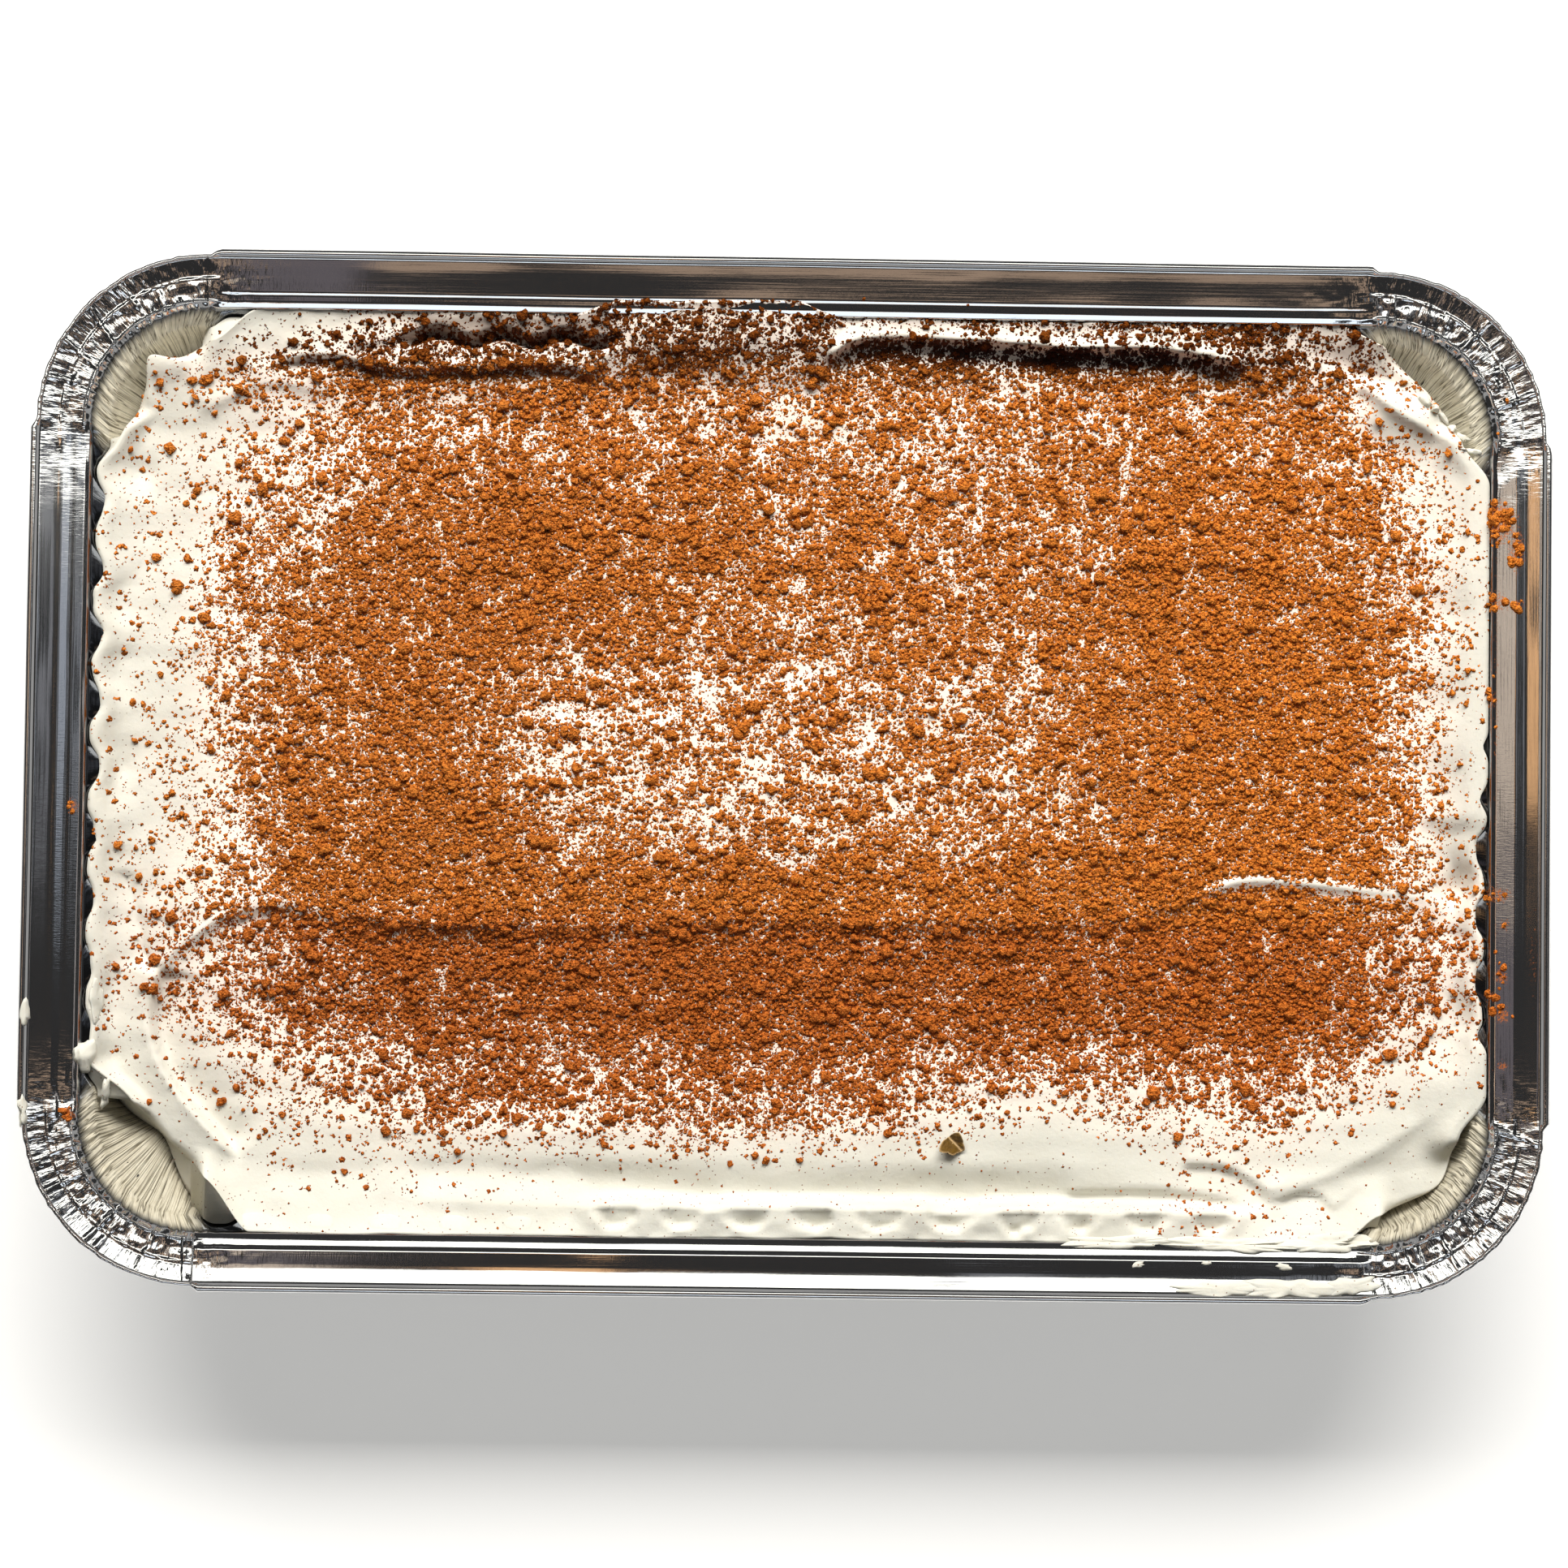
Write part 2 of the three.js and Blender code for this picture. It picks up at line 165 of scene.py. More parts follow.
# The photograph's size and scale, and how the camera stood
PHOTO_PIXELS = 1932
PIXELS_PER_MM = 5.99
CAMERA_LEAN_FRONT = 2.3
CAMERA_LEAN_LEFT = 0.9
CAMERA_ROLL = 0.78
CAMERA_AIM = (-1.1, -1.9)


def linear(colour):
    """A hex sRGB colour as linear red, green, blue and alpha."""
    parts = [int(colour[i : i + 2], 16) / 255 for i in (1, 3, 5)]
    return (*[c / 12.92 if c <= 0.04045 else ((c + 0.055) / 1.055) ** 2.4 for c in parts], 1.0)


def add_node(tree, kind, inputs=None, **settings):
    """Adds a node; an input's value may be a number, a colour or another node's socket."""
    made = tree.nodes.new(kind)
    for name, value in settings.items():
        setattr(made, name, value)
    for key, value in (inputs or {}).items():
        if isinstance(value, bpy.types.NodeSocket):
            tree.links.new(value, made.inputs[key])
        else:
            made.inputs[key].default_value = value
    return made


def new_material(name):
    """An empty node material and the tree to add to."""
    material = bpy.data.materials.new(name)
    material.use_nodes = True
    material.node_tree.nodes.clear()
    return material, material.node_tree


def finish_material(tree, shader):
    add_node(tree, "ShaderNodeOutputMaterial", {"Surface": shader})


def maths(tree, operation, *values):
    """The result of a Math node."""
    return add_node(tree, "ShaderNodeMath", dict(enumerate(values)), operation=operation).outputs[0]


def vectors(tree, operation, *values):
    """The result of a Vector Math node."""
    inputs = dict(enumerate(values))
    made = add_node(tree, "ShaderNodeVectorMath", inputs, operation=operation)
    return made.outputs["Value" if operation == "LENGTH" else 0]


def scaled(tree, vector, scale):
    inputs = {0: vector, "Scale": scale}
    return add_node(tree, "ShaderNodeVectorMath", inputs, operation="SCALE").outputs[0]


def soft_noise(tree, place, scale, detail, **others):
    """Noise from 0 to 1 over a place."""
    inputs = {"Vector": place, "Scale": scale, "Detail": detail, **others}
    return add_node(tree, "ShaderNodeTexNoise", inputs).outputs[0]


def ramp(tree, value, low=0.0, high=1.0, least=0.0, most=1.0, ease="LINEAR"):
    """Takes values from low to high to values from least to most, held beyond either end."""
    inputs = {"Value": value, "From Min": low, "From Max": high, "To Min": least, "To Max": most}
    return add_node(tree, "ShaderNodeMapRange", inputs, interpolation_type=ease).outputs[0]


def mixed(tree, share, first, second, blend="MIX"):
    """A colour between two; each is a hex colour, linear parts or another node's socket."""
    first, second = (linear(c) if isinstance(c, str) else c for c in (first, second))
    inputs = {0: share, 6: first, 7: second}
    return add_node(tree, "ShaderNodeMix", inputs, data_type="RGBA", blend_type=blend).outputs[2]


def bumped(tree, height, strength, distance):
    """A normal that follows a height, with the distance in millimetres."""
    inputs = {"Height": height, "Strength": strength, "Distance": distance * MM}
    return add_node(tree, "ShaderNodeBump", inputs).outputs[0]


def attribute(tree, name, output="Fac"):
    return add_node(tree, "ShaderNodeAttribute", attribute_name=name).outputs[output]


def principled(tree, inputs):
    return add_node(tree, "ShaderNodeBsdfPrincipled", inputs).outputs[0]


def layered(tree, share, under, over):
    return add_node(tree, "ShaderNodeMixShader", {0: share, 1: under, 2: over}).outputs[0]


def millimetre_coordinates(tree):
    """Object coordinates in millimetres."""
    return scaled(tree, add_node(tree, "ShaderNodeTexCoord").outputs["Object"], 1 / MM)


def smooth(share):
    share = np.clip(share, 0.0, 1.0)
    return share * share * (3 - 2 * share)


class Noise:
    """Noise from -1 to 1 over a plane, the same each time for one seed. Smooth, or creased where
    the lattice lines run."""

    def __init__(self, seed, creased=False):
        self.table = np.random.default_rng(seed).uniform(-1, 1, (256, 256))
        self.ease = (lambda share: share) if creased else smooth

    def __call__(self, x, y):
        x, y = np.broadcast_arrays(np.asarray(x, float), np.asarray(y, float))
        left, low = np.floor(x).astype(int), np.floor(y).astype(int)
        u, v = self.ease(x - left), self.ease(y - low)
        left, low = left % 256, low % 256
        right, high = (left + 1) % 256, (low + 1) % 256
        table = self.table
        near = table[left, low] * (1 - u) + table[right, low] * u
        far = table[left, high] * (1 - u) + table[right, high] * u
        return near * (1 - v) + far * v


class Path:
    """A smooth way through a few points, with how far other points lie from it."""

    STEPS = 5

    def __init__(self, points):
        points = np.array(points, float)
        ends = np.vstack([2 * points[0] - points[1], points, 2 * points[-1] - points[-2]])
        t = np.linspace(0, 1, self.STEPS, endpoint=False)[:, None]
        spans = []
        for a, b, c, d in zip(ends, ends[1:], ends[2:], ends[3:]):
            curve = 2 * b + (c - a) * t + (2 * a - 5 * b + 4 * c - d) * t**2
            spans.append((curve + (3 * b - a - 3 * c + d) * t**3) / 2)
        self.line = np.vstack([*spans, points[-1:]])

    def measure(self, x, y):
        """The distance, whether a point lies left of the way (1) or right (-1), and the share
        of the way where it is nearest."""
        away = np.full(x.shape, 1e9)
        side = np.ones(x.shape)
        share = np.zeros(x.shape)
        count = len(self.line) - 1
        for i, (a, b) in enumerate(zip(self.line, self.line[1:])):
            step = b - a
            px, py = x - a[0], y - a[1]
            t = np.clip((px * step[0] + py * step[1]) / (step @ step), 0, 1)
            distance = np.hypot(px - step[0] * t, py - step[1] * t)
            nearer = distance < away
            away = np.where(nearer, distance, away)
            side = np.where(nearer, np.where(step[0] * py - step[1] * px >= 0, 1, -1), side)
            share = np.where(nearer, (i + t) / count, share)
        return away, side, share


def mesh_object(name, places, faces, material, smooth_shaded=True):
    """An object from places in millimetres and lists of corner numbers."""
    mesh = bpy.data.meshes.new(name)
    mesh.from_pydata((np.asarray(places) * MM).tolist(), [], faces)
    mesh.validate()
    mesh.materials.append(material)
    mesh.shade_smooth() if smooth_shaded else mesh.shade_flat()
    made = bpy.data.objects.new(name, mesh)
    bpy.context.scene.collection.objects.link(made)
    return made


def grid_faces(rows, columns, closed):
    """Quads between the rows of a grid of points, whose columns may close into a ring."""
    faces = []
    last = columns if closed else columns - 1
    for r in range(rows - 1):
        for c in range(last):
            d = (c + 1) % columns
            near, far = r * columns, (r + 1) * columns
            faces.append((near + c, near + d, far + d, far + c))
    return faces


def shell_faces(rows, around):
    """Quads between closed rings of points, and a fan at either end to the two points after
    them."""
    faces = grid_faces(rows, around, closed=True)
    low, last = rows * around, (rows - 1) * around
    for c in range(around):
        d = (c + 1) % around
        faces += [(low, d, c), (low + 1, last + c, last + d)]
    return faces


def set_attribute(mesh, name, values):
    """A number or a vector for each point."""
    values = np.asarray(values, np.float32)
    kind, field = ("FLOAT", "value") if values.ndim == 1 else ("FLOAT_VECTOR", "vector")
    mesh.attributes.new(name, kind, "POINT").data.foreach_set(field, values.ravel())


# Foil tray


def rim_z(inset, x, y):
    """The height of the rim's pressed sides at an inset."""
    return TOP_Z - np.interp(inset, *zip(*SIDE_SECTION)) + rim_wave(x, y)


class Columns:
    """The columns of points round the tray: the front, the front right corner, the right side and
    so on. A point at an inset lies at straight * (ax, ay) + radius * (ex, ey)."""

    PER_FLUTE = 12
    PER_CORNER = 128

    def __init__(self):
        ax, ay, ex, ey, corner = [], [], [], [], []
        signs = [(1, -1), (1, 1), (-1, 1), (-1, -1)]
        for side in range(4):
            count = FLUTES[side % 2] * self.PER_FLUTE
            share = 2 * np.arange(count) / count - 1
            if side % 2 == 0:
                sign = -1 if side == 0 else 1
                ax.append(-sign * share)
                ay.append(np.full(count, sign))
                ex.append(np.zeros(count))
                ey.append(np.full(count, sign))
            else:
                sign = 1 if side == 1 else -1
                ax.append(np.full(count, sign))
                ay.append(sign * share)
                ex.append(np.full(count, sign))
                ey.append(np.zeros(count))
            corner.append(np.full(count, -1))
            angle = (side - 1 + np.arange(self.PER_CORNER) / self.PER_CORNER) * (math.pi / 2)
            ax.append(np.full(self.PER_CORNER, signs[side][0]))
            ay.append(np.full(self.PER_CORNER, signs[side][1]))
            ex.append(np.cos(angle))
            ey.append(np.sin(angle))
            corner.append(np.full(self.PER_CORNER, side))
        self.ax, self.ay, self.ex, self.ey = (np.hstack(p).astype(float) for p in (ax, ay, ex, ey))
        self.corner = np.hstack(corner)
        self.count = len(self.ax)
        x, y = self.place(np.zeros(self.count), 0.0)
        step = np.hypot(np.diff(x, append=x[0]), np.diff(y, append=y[0]))
        self.along = np.concatenate([[0], np.cumsum(step)[:-1]])
        self.round = step.sum()
        self.from_corner = self.distance_to(self.corner >= 0)
        # turns of the flutes, from the start of each side
        reach = np.where(self.ex == 0, self.ax * WALL_STRAIGHT[0], self.ay * WALL_STRAIGHT[1])
        half = np.where(self.ex == 0, WALL_STRAIGHT[0], WALL_STRAIGHT[1])
        self.turns = np.where(self.corner < 0, (reach + half) / FLUTE_PITCH, 0.0)

    def distance_to(self, wanted):
        """Along the rim from each column to the nearest one that is wanted."""
        marks = self.along[wanted]
        gap = np.abs(self.along[:, None] - marks[None, :])
        return np.minimum(gap, self.round - gap).min(axis=1)

    def place(self, inset, blend):
        """Places at an inset; blend goes from the rim's straight lengths (0) to the wall's (1)."""
        straight_x = RIM_STRAIGHT[0] + (WALL_STRAIGHT[0] - RIM_STRAIGHT[0]) * blend
        straight_y = RIM_STRAIGHT[1] + (WALL_STRAIGHT[1] - RIM_STRAIGHT[1]) * blend
        x = straight_x * self.ax + (HALF_X - inset - straight_x) * self.ex
        y = straight_y * self.ay + (HALF_Y - inset - straight_y) * self.ey
        return x, y

    def swell(self, depth):
        """How far the wall stands out in the flutes' recesses."""
        return depth * smooth((1 - np.cos(2 * math.pi * self.turns)) / 2)


class FoilSheet:
    """The tray's sheet as rows of points: up the outside, over the rolled edge, across the rim,
    down the inside. Each row holds inset, height, and how it takes crinkles."""

    def __init__(self, settings):
        self.columns = Columns()
        self.flute_depth = settings.flute_depth / MM
        self.foil = settings.foil_thickness / MM
        # 1 where the rim is pleated, falling off within a few millimetres of the corners
        self.pleated = smooth(1 - self.columns.from_corner / 1.7)
        self.crinkled = np.exp(-self.columns.from_corner / 5.0)
        self.rows = []

    def row(self, inset, z, blend=0.0, crinkle=0.0):
        count = self.columns.count
        x, y = self.columns.place(np.broadcast_to(inset, count), blend)
        z = np.broadcast_to(z, count)
        self.rows.append((np.stack([x, y, z], axis=1), np.broadcast_to(inset, count), crinkle))

    def section(self, inset, extra=0.0):
        """The rim's height at an inset, pressed or pleated."""
        side = np.interp(inset, *zip(*SIDE_SECTION))
        for own, knots in (
            (self.columns.ey == -1, FRONT_SECTION),
            (self.columns.ey == 1, BACK_SECTION),
            (self.columns.ex == -1, LEFT_SECTION),
            (self.columns.ex == 1, RIGHT_SECTION),
        ):
            side = np.where(own, np.interp(inset, *zip(*knots)), side)
        corner = np.interp(inset, *zip(*CORNER_SECTION))
        return TOP_Z - extra - (side + (corner - side) * self.pleated)

    def wall_inset(self, z, depth_share=1.0):
        inset = WALL_TOP_INSET + (SHELF_Z - z) * WALL_DRAFT
        return inset - self.columns.swell(self.flute_depth) * depth_share

    def build(self):
        foil = self.foil
        # outside, from the base up to the rim's underside
        self.row(BASE_INSET + RIDGE_WIDTH + 1.0, FLOOR_RISE, 1.0)
        self.row(BASE_INSET + RIDGE_WIDTH, 0.0, 1.0)
        self.row(BASE_INSET + 1.5, 0.0, 1.0)
        self.row(BASE_INSET - foil / 2, 0.15, 1.0)
        self.row(self.wall_inset(1.3, 0.7) - foil + 0.4, 1.3, 1.0)
        for z in np.linspace(LOW_WALL_Z, SHELF_Z - foil - 0.6, 9):
            self.row(self.wall_inset(z) - foil, z, 1.0, crinkle=0.4)
        shelf_inset = self.wall_inset(SHELF_Z) - foil
        for share in (0.1, 0.6):
            inset = shelf_inset + (RIM_END_INSET - foil - shelf_inset) * share
            self.row(inset, SHELF_Z - foil, 1.0 - share, crinkle=0.3)
        for inset in (12.2, 11.0, 9.3, 7.9, 6.7, 5.4, 2.9):
            self.row(inset - foil / 2, self.section(inset, foil), 0.0)
        # rolled edge; at the corners it is pressed to a thin hem that stands further in
        pleated = self.pleated
        ragged = 0.16 * Noise(11, creased=True)(self.columns.along / 1.3, 0)
        centre = CURL_RADIUS + 0.6 * pleated
        wide = CURL_RADIUS + (0.5 - CURL_RADIUS) * pleated
        high = CURL_RADIUS + (0.4 - CURL_RADIUS) * pleated
        centre_z = TOP_Z - CURL_RADIUS + 0.4 * pleated
        for angle in np.radians([-50, -75, -100, -130, -160, 165, 140, 115, 92, 70, 48]):
            inset = centre + wide * math.cos(angle) + (ragged + 0.2) * pleated
            self.row(inset, centre_z + high * math.sin(angle), 0.0, crinkle=0.35)
        # rim
        knots = {inset for inset, _ in SIDE_SECTION + CORNER_SECTION}
        between = {2.8, 3.4, 4.0, 4.7, 7.3, 7.5, 8.5, 8.8, 9.8, 10.2, 11.35, 11.85}
        for inset in sorted(knots | between):
            self.row(inset, self.section(inset), 0.0, crinkle=1.0)
        # shelf and inner wall
        wall_top = self.wall_inset(SHELF_Z)
        end_z = self.section(RIM_END_INSET)
        for share in (0.15, 0.32, 0.5, 0.68, 0.85, 0.96):
            inset = RIM_END_INSET + (wall_top - RIM_END_INSET) * share
            self.row(inset, end_z + (SHELF_Z - end_z) * share, share, crinkle=1.0)
        for z in (38.1, 37.0, 35.2, 33.0, 30.5, 27.5, 24.0, 19.0, 13.0, LOW_WALL_Z):
            self.row(self.wall_inset(z), z, 1.0, crinkle=0.6)
        self.row(BASE_INSET, foil, 1.0)
        self.row(BASE_INSET + RIDGE_WIDTH, foil, 1.0)
        self.row(BASE_INSET + RIDGE_WIDTH + 1.0, foil + FLOOR_RISE, 1.0)
        places = np.stack([row[0] for row in self.rows])
        insets = np.stack([row[1] for row in self.rows])
        crinkle = np.array([row[2] for row in self.rows])
        return places, insets, crinkle

    def crinkles(self, insets):
        """How far the sheet stands off its smooth form: pleats in the skirt, small facets inside
        it, a row of squares at the step, and long creases across all of them."""
        along = self.columns.along[None, :]
        warp = along + 0.5 * Noise(21)(along / 4.0, insets / 3.0)
        slant = warp + 0.25 * insets
        skirt = 0.15 * Noise(22, creased=True)(slant / 0.9, insets / 3.5)
        skirt += 0.08 * Noise(23, creased=True)(slant / 0.5, insets / 1.6)
        mosaic = 0.30 * Noise(24, creased=True)(warp / 1.9, insets / 1.5)
        mosaic += 0.10 * Noise(25, creased=True)(warp / 0.9, insets / 0.8)
        beat = warp / 2.7 + 0.55 * Noise(32)(along / 5.0, insets / 6.0)
        squares = 0.34 * (2 * np.abs(2 * (beat - np.floor(beat)) - 1) - 1)
        squares *= 0.7 + 0.9 * Noise(26)(warp / 2.3, insets / 2.0)
        squares += 0.16 * Noise(33, creased=True)(warp / 1.3, insets / 1.6)
        wall = 0.10 * Noise(27, creased=True)(warp / 0.95, insets / 5.0)
        wall -= 0.45 * np.clip(1 - np.abs(Noise(28)(warp / 2.2, insets / 7.0)) / 0.14, 0, 1)
        in_skirt = smooth((6.3 - insets) / 0.6)
        in_squares = smooth((insets - 11.2) / 0.5)
        in_wall = smooth((insets - 15.0) / 1.0)
        in_mosaic = (1 - in_skirt) * (1 - in_squares)
        height = skirt * in_skirt + mosaic * in_mosaic
        height = height + squares * in_squares * (1 - in_wall) + wall * in_wall
        # long creases
        draw = np.random.default_rng(29)
        long = np.zeros_like(insets)
        for corner in range(4):
            own = np.flatnonzero(self.columns.corner == corner)
            start, end = self.columns.along[own[0]], self.columns.along[own[-1]]
            for share in (np.arange(7) + draw.uniform(0.15, 0.85, 7)) / 7:
                at = start - 1.5 + (end - start + 3.0) * share
                lean = draw.uniform(-0.35, 0.35)
                tall = draw.uniform(0.15, 0.4)
                long = np.maximum(long, tall * np.exp(-(((along - at - lean * insets) / 0.5) ** 2)))
        height = height + long * smooth((insets - 0.5) / 2)
        # the pressed sides are nearly smooth, and only a little wavy
        wave = 0.05 * Noise(30)(along / 14.0, insets / 6.0)
        fade = self.crinkled[None, :]
        return height * fade + wave * (1 - fade)


def rim_wave(x, y):
    """How much lower the rim lies than it would if it were quite straight."""
    return 0.35 * Noise(41)(x / 42, y / 42 + 0.3) - 0.4


def corner_lean(z, corner):
    """The lean of each point of the wall; corner holds 0 to 3 round from the front right."""
    lean = np.zeros(z.shape)
    for number, (most, from_z, over) in enumerate(CORNER_LEAN.values()):
        lean += np.where(corner == number, most * smooth((from_z - z) / over), 0.0)
    return lean


def grid_normals(places):
    """Outward normals of a closed grid of rows."""
    across = np.roll(places, -1, axis=1) - np.roll(places, 1, axis=1)
    down = np.gradient(places, axis=0)
    normal = np.cross(across, down)
    return normal / np.maximum(np.linalg.norm(normal, axis=2, keepdims=True), 1e-9)


def foil_material(settings):
    """Aluminium foil, pressed and wrinkle-walled: a mirror with faint rolling lines along the
    sides and fine creases where it is gathered."""
    material, tree = new_material("pressed aluminium foil")
    place = millimetre_coordinates(tree)
    sheet = add_node(tree, "ShaderNodeSeparateXYZ", {0: attribute(tree, "sheet", "Vector")})
    along, inset, pleated = sheet.outputs
    lines = add_node(tree, "ShaderNodeCombineXYZ", {"X": along, "Y": inset}).outputs[0]
    # rolling lines lie along the sides, 0.25 mm across; creases and striae lie across them
    rolling, creases, striae = (
        soft_noise(tree, vectors(tree, "MULTIPLY", lines, stretch), scale, detail)
        for stretch, scale, detail in (
            ((0.03, 1.6, 1.0), 1.3, 3.0),
            ((1.5, 0.35, 1.0), 1.0, 2.0),
            ((3.4, 0.5, 1.0), 1.0, 2.0),
        )
    )
    small = soft_noise(tree, place, 0.6, 3.0)
    height = maths(tree, "MULTIPLY_ADD", rolling, 0.06, maths(tree, "MULTIPLY", creases, pleated))
    height = maths(tree, "MULTIPLY_ADD", small, ramp(tree, pleated, least=0.03, most=0.3), height)
    height = maths(tree, "MULTIPLY_ADD", striae, ramp(tree, inset, 6.4, 7.0, 0.01, 0.05), height)
    # below the step it is painted darker: painted shade, which also dims its glints there
    darkened_band = ramp(tree, inset, 11.95, 12.15)
    metal = {
        "Base Color": mixed(tree, darkened_band, (*settings.foil_colour, 1.0), "#707276"),
        "Metallic": 1.0,
        "Roughness": 0.09,
        "Normal": bumped(tree, height, 0.35, 0.4),
    }
    # a film of cream on the corner walls, whose pale colour also stands in for the cream that the
    # foil mirrors there, a painted reflection; darker lines run along the creases
    wide = vectors(tree, "MULTIPLY", lines, (0.62, 0.13, 1.0))
    fields = soft_noise(tree, wide, 1.0, 2.0, Roughness=0.6, Distortion=0.5)
    dark_lines = maths(tree, "ABSOLUTE", maths(tree, "SUBTRACT", fields, 0.5))
    milky = mixed(tree, small, "#BDB399", "#E6DFCA")
    film_and_reflection_colour = mixed(tree, ramp(tree, dark_lines, 0.004, 0.035), "#6B6350", milky)
    # a painted glow: the film gives off light in its own colour, most towards the back, in the
    # corners that face away from the window
    depth = add_node(tree, "ShaderNodeSeparateXYZ", {0: place}).outputs["Y"]
    film = {
        "Base Color": film_and_reflection_colour,
        "Emission Color": film_and_reflection_colour,
        "Emission Strength": ramp(tree, depth, -20.0, 40.0, most=0.26),
        "Roughness": 0.35,
        "Specular IOR Level": 0.6,
        "Normal": bumped(tree, fields, 0.8, 1.2),
    }
    # spilled cocoa, as specks and a haze of orange dust
    grains = soft_noise(tree, place, 2.2, 4.0, Roughness=0.7)
    level = maths(tree, "MULTIPLY_ADD", attribute(tree, "spill"), 0.35, grains)
    dust = {"Base Color": linear("#B8652A"), "Roughness": 0.9, "Specular IOR Level": 0.1}
    filmed = layered(
        tree, attribute(tree, "film"), principled(tree, metal), principled(tree, film)
    )
    dusted = ramp(tree, level, 0.7, 0.84, most=0.75)
    finish_material(tree, layered(tree, dusted, filmed, principled(tree, dust)))
    return material


# Where cocoa has spilled on the rim: middle, half sizes and how thickly
SPILLS = (
    (-147.0, -71.5, 1.6, 1.6, 0.9),
    (-147.4, -8.3, 1.4, 1.8, 0.9),
    (147.0, 54.5, 3.6, 5.0, 1.0),
    (150.3, 48.5, 2.0, 5.5, 0.8),
    (147.0, 38.0, 2.6, 2.6, 0.7),
    (150.4, 37.5, 2.0, 1.2, 0.8),
    (145.4, 18.0, 1.0, 2.0, 0.9),
    (147.0, -22.8, 3.2, 2.0, 0.75),
    (148.2, -29.0, 1.3, 1.1, 0.9),
    (147.6, -39.5, 1.6, 2.0, 0.9),
    (146.0, -44.0, 1.6, 1.2, 0.9),
    (147.8, -47.5, 1.8, 2.0, 0.9),
    (147.8, -58.0, 1.2, 1.2, 0.9),
    (146.4, 10.0, 0.8, 85.0, 0.36),
    (154.0, -36.0, 1.2, 12.0, 0.35),
    (148.0, 80.0, 4.0, 6.0, 0.25),
    (40.0, 99.0, 70.0, 3.5, 0.12),
    (-90.0, 97.0, 30.0, 4.0, 0.12),
)


def spilled(points):
    """How thickly cocoa has spilled at points of the tray, on its upper side."""
    amount = np.zeros(len(points))
    for middle_x, middle_y, half_x, half_y, heavy in SPILLS:
        away = ((points[:, 0] - middle_x) / half_x) ** 2 + ((points[:, 1] - middle_y) / half_y) ** 2
        amount = np.maximum(amount, heavy * np.exp(-(away**1.5)))
    shelf_or_rim = smooth((points[:, 2] - SHELF_Z + 1.0) / 1.0)
    upper = np.arange(len(points)) > len(points) * OUTSIDE_SHARE
    return amount * shelf_or_rim * upper


def make_tray(settings):
    sheet = FoilSheet(settings)
    places, insets, crinkle = sheet.build()
    rows, count = insets.shape
    height = sheet.crinkles(insets) * crinkle[:, None]
    normals = grid_normals(places)
    # crinkles stand out along the sheet's normal; the underside follows the top side
    places = places + normals * height[..., None]
    # the rim as a whole is a little wavy and never quite straight
    at_rim = smooth((places[..., 2] - 20) / 18)
    places[..., 2] += at_rim * rim_wave(places[..., 0], places[..., 1])
    places[..., 2] = np.minimum(places[..., 2], TOP_Z)
    # the wall's corners lean in towards the foot
    double = 2 * np.abs(sheet.columns.ex * sheet.columns.ey)
    corner = np.broadcast_to(sheet.columns.corner[None, :], insets.shape)
    down = corner_lean(places[..., 2], corner) * smooth((insets - 13.0) / 3.0)
    # the outside stays clear of the crinkles on the inside
    down *= np.where(np.arange(rows) < rows * OUTSIDE_SHARE, 0.92, 1.0)[:, None]
    middle = np.stack(
        [WALL_STRAIGHT[0] * sheet.columns.ax, WALL_STRAIGHT[1] * sheet.columns.ay], axis=1
    )
    radial = places[..., :2] - middle[None]
    places[..., :2] -= radial * (down * double[None, :])[..., None]
    middles = [[0, 0, FLOOR_RISE], [0, 0, FLOOR_RISE + sheet.foil]]
    points = np.vstack([places.reshape(-1, 3), middles])
    faces = shell_faces(rows, count)
    made = mesh_object("foil_tray_skin", points, faces, foil_material(settings))
    pleated = np.broadcast_to(sheet.crinkled[None, :], insets.shape)
    lines = np.broadcast_to(sheet.columns.along[None, :], insets.shape)
    sheet_values = np.stack([lines, insets, pleated], axis=2).reshape(-1, 3)
    set_attribute(made.data, "sheet", np.vstack([sheet_values, np.zeros((2, 3))]))
    set_attribute(made.data, "spill", spilled(points))
    # the film of cream on the inner walls near the corners, whose colour also stands in for the
    # cream the foil mirrors there: a painted reflection
    inside = smooth((insets - 12.0) / 1.8) * (np.arange(rows) > rows * 0.6)[:, None]
    film = 0.85 * inside * smooth(1 - sheet.columns.from_corner / 4.0)[None, :]
    set_attribute(made.data, "film", np.append(film.ravel(), [0.0, 0.0]))
    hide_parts("foil_tray")
    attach(made, "root")
    return made


# Cream


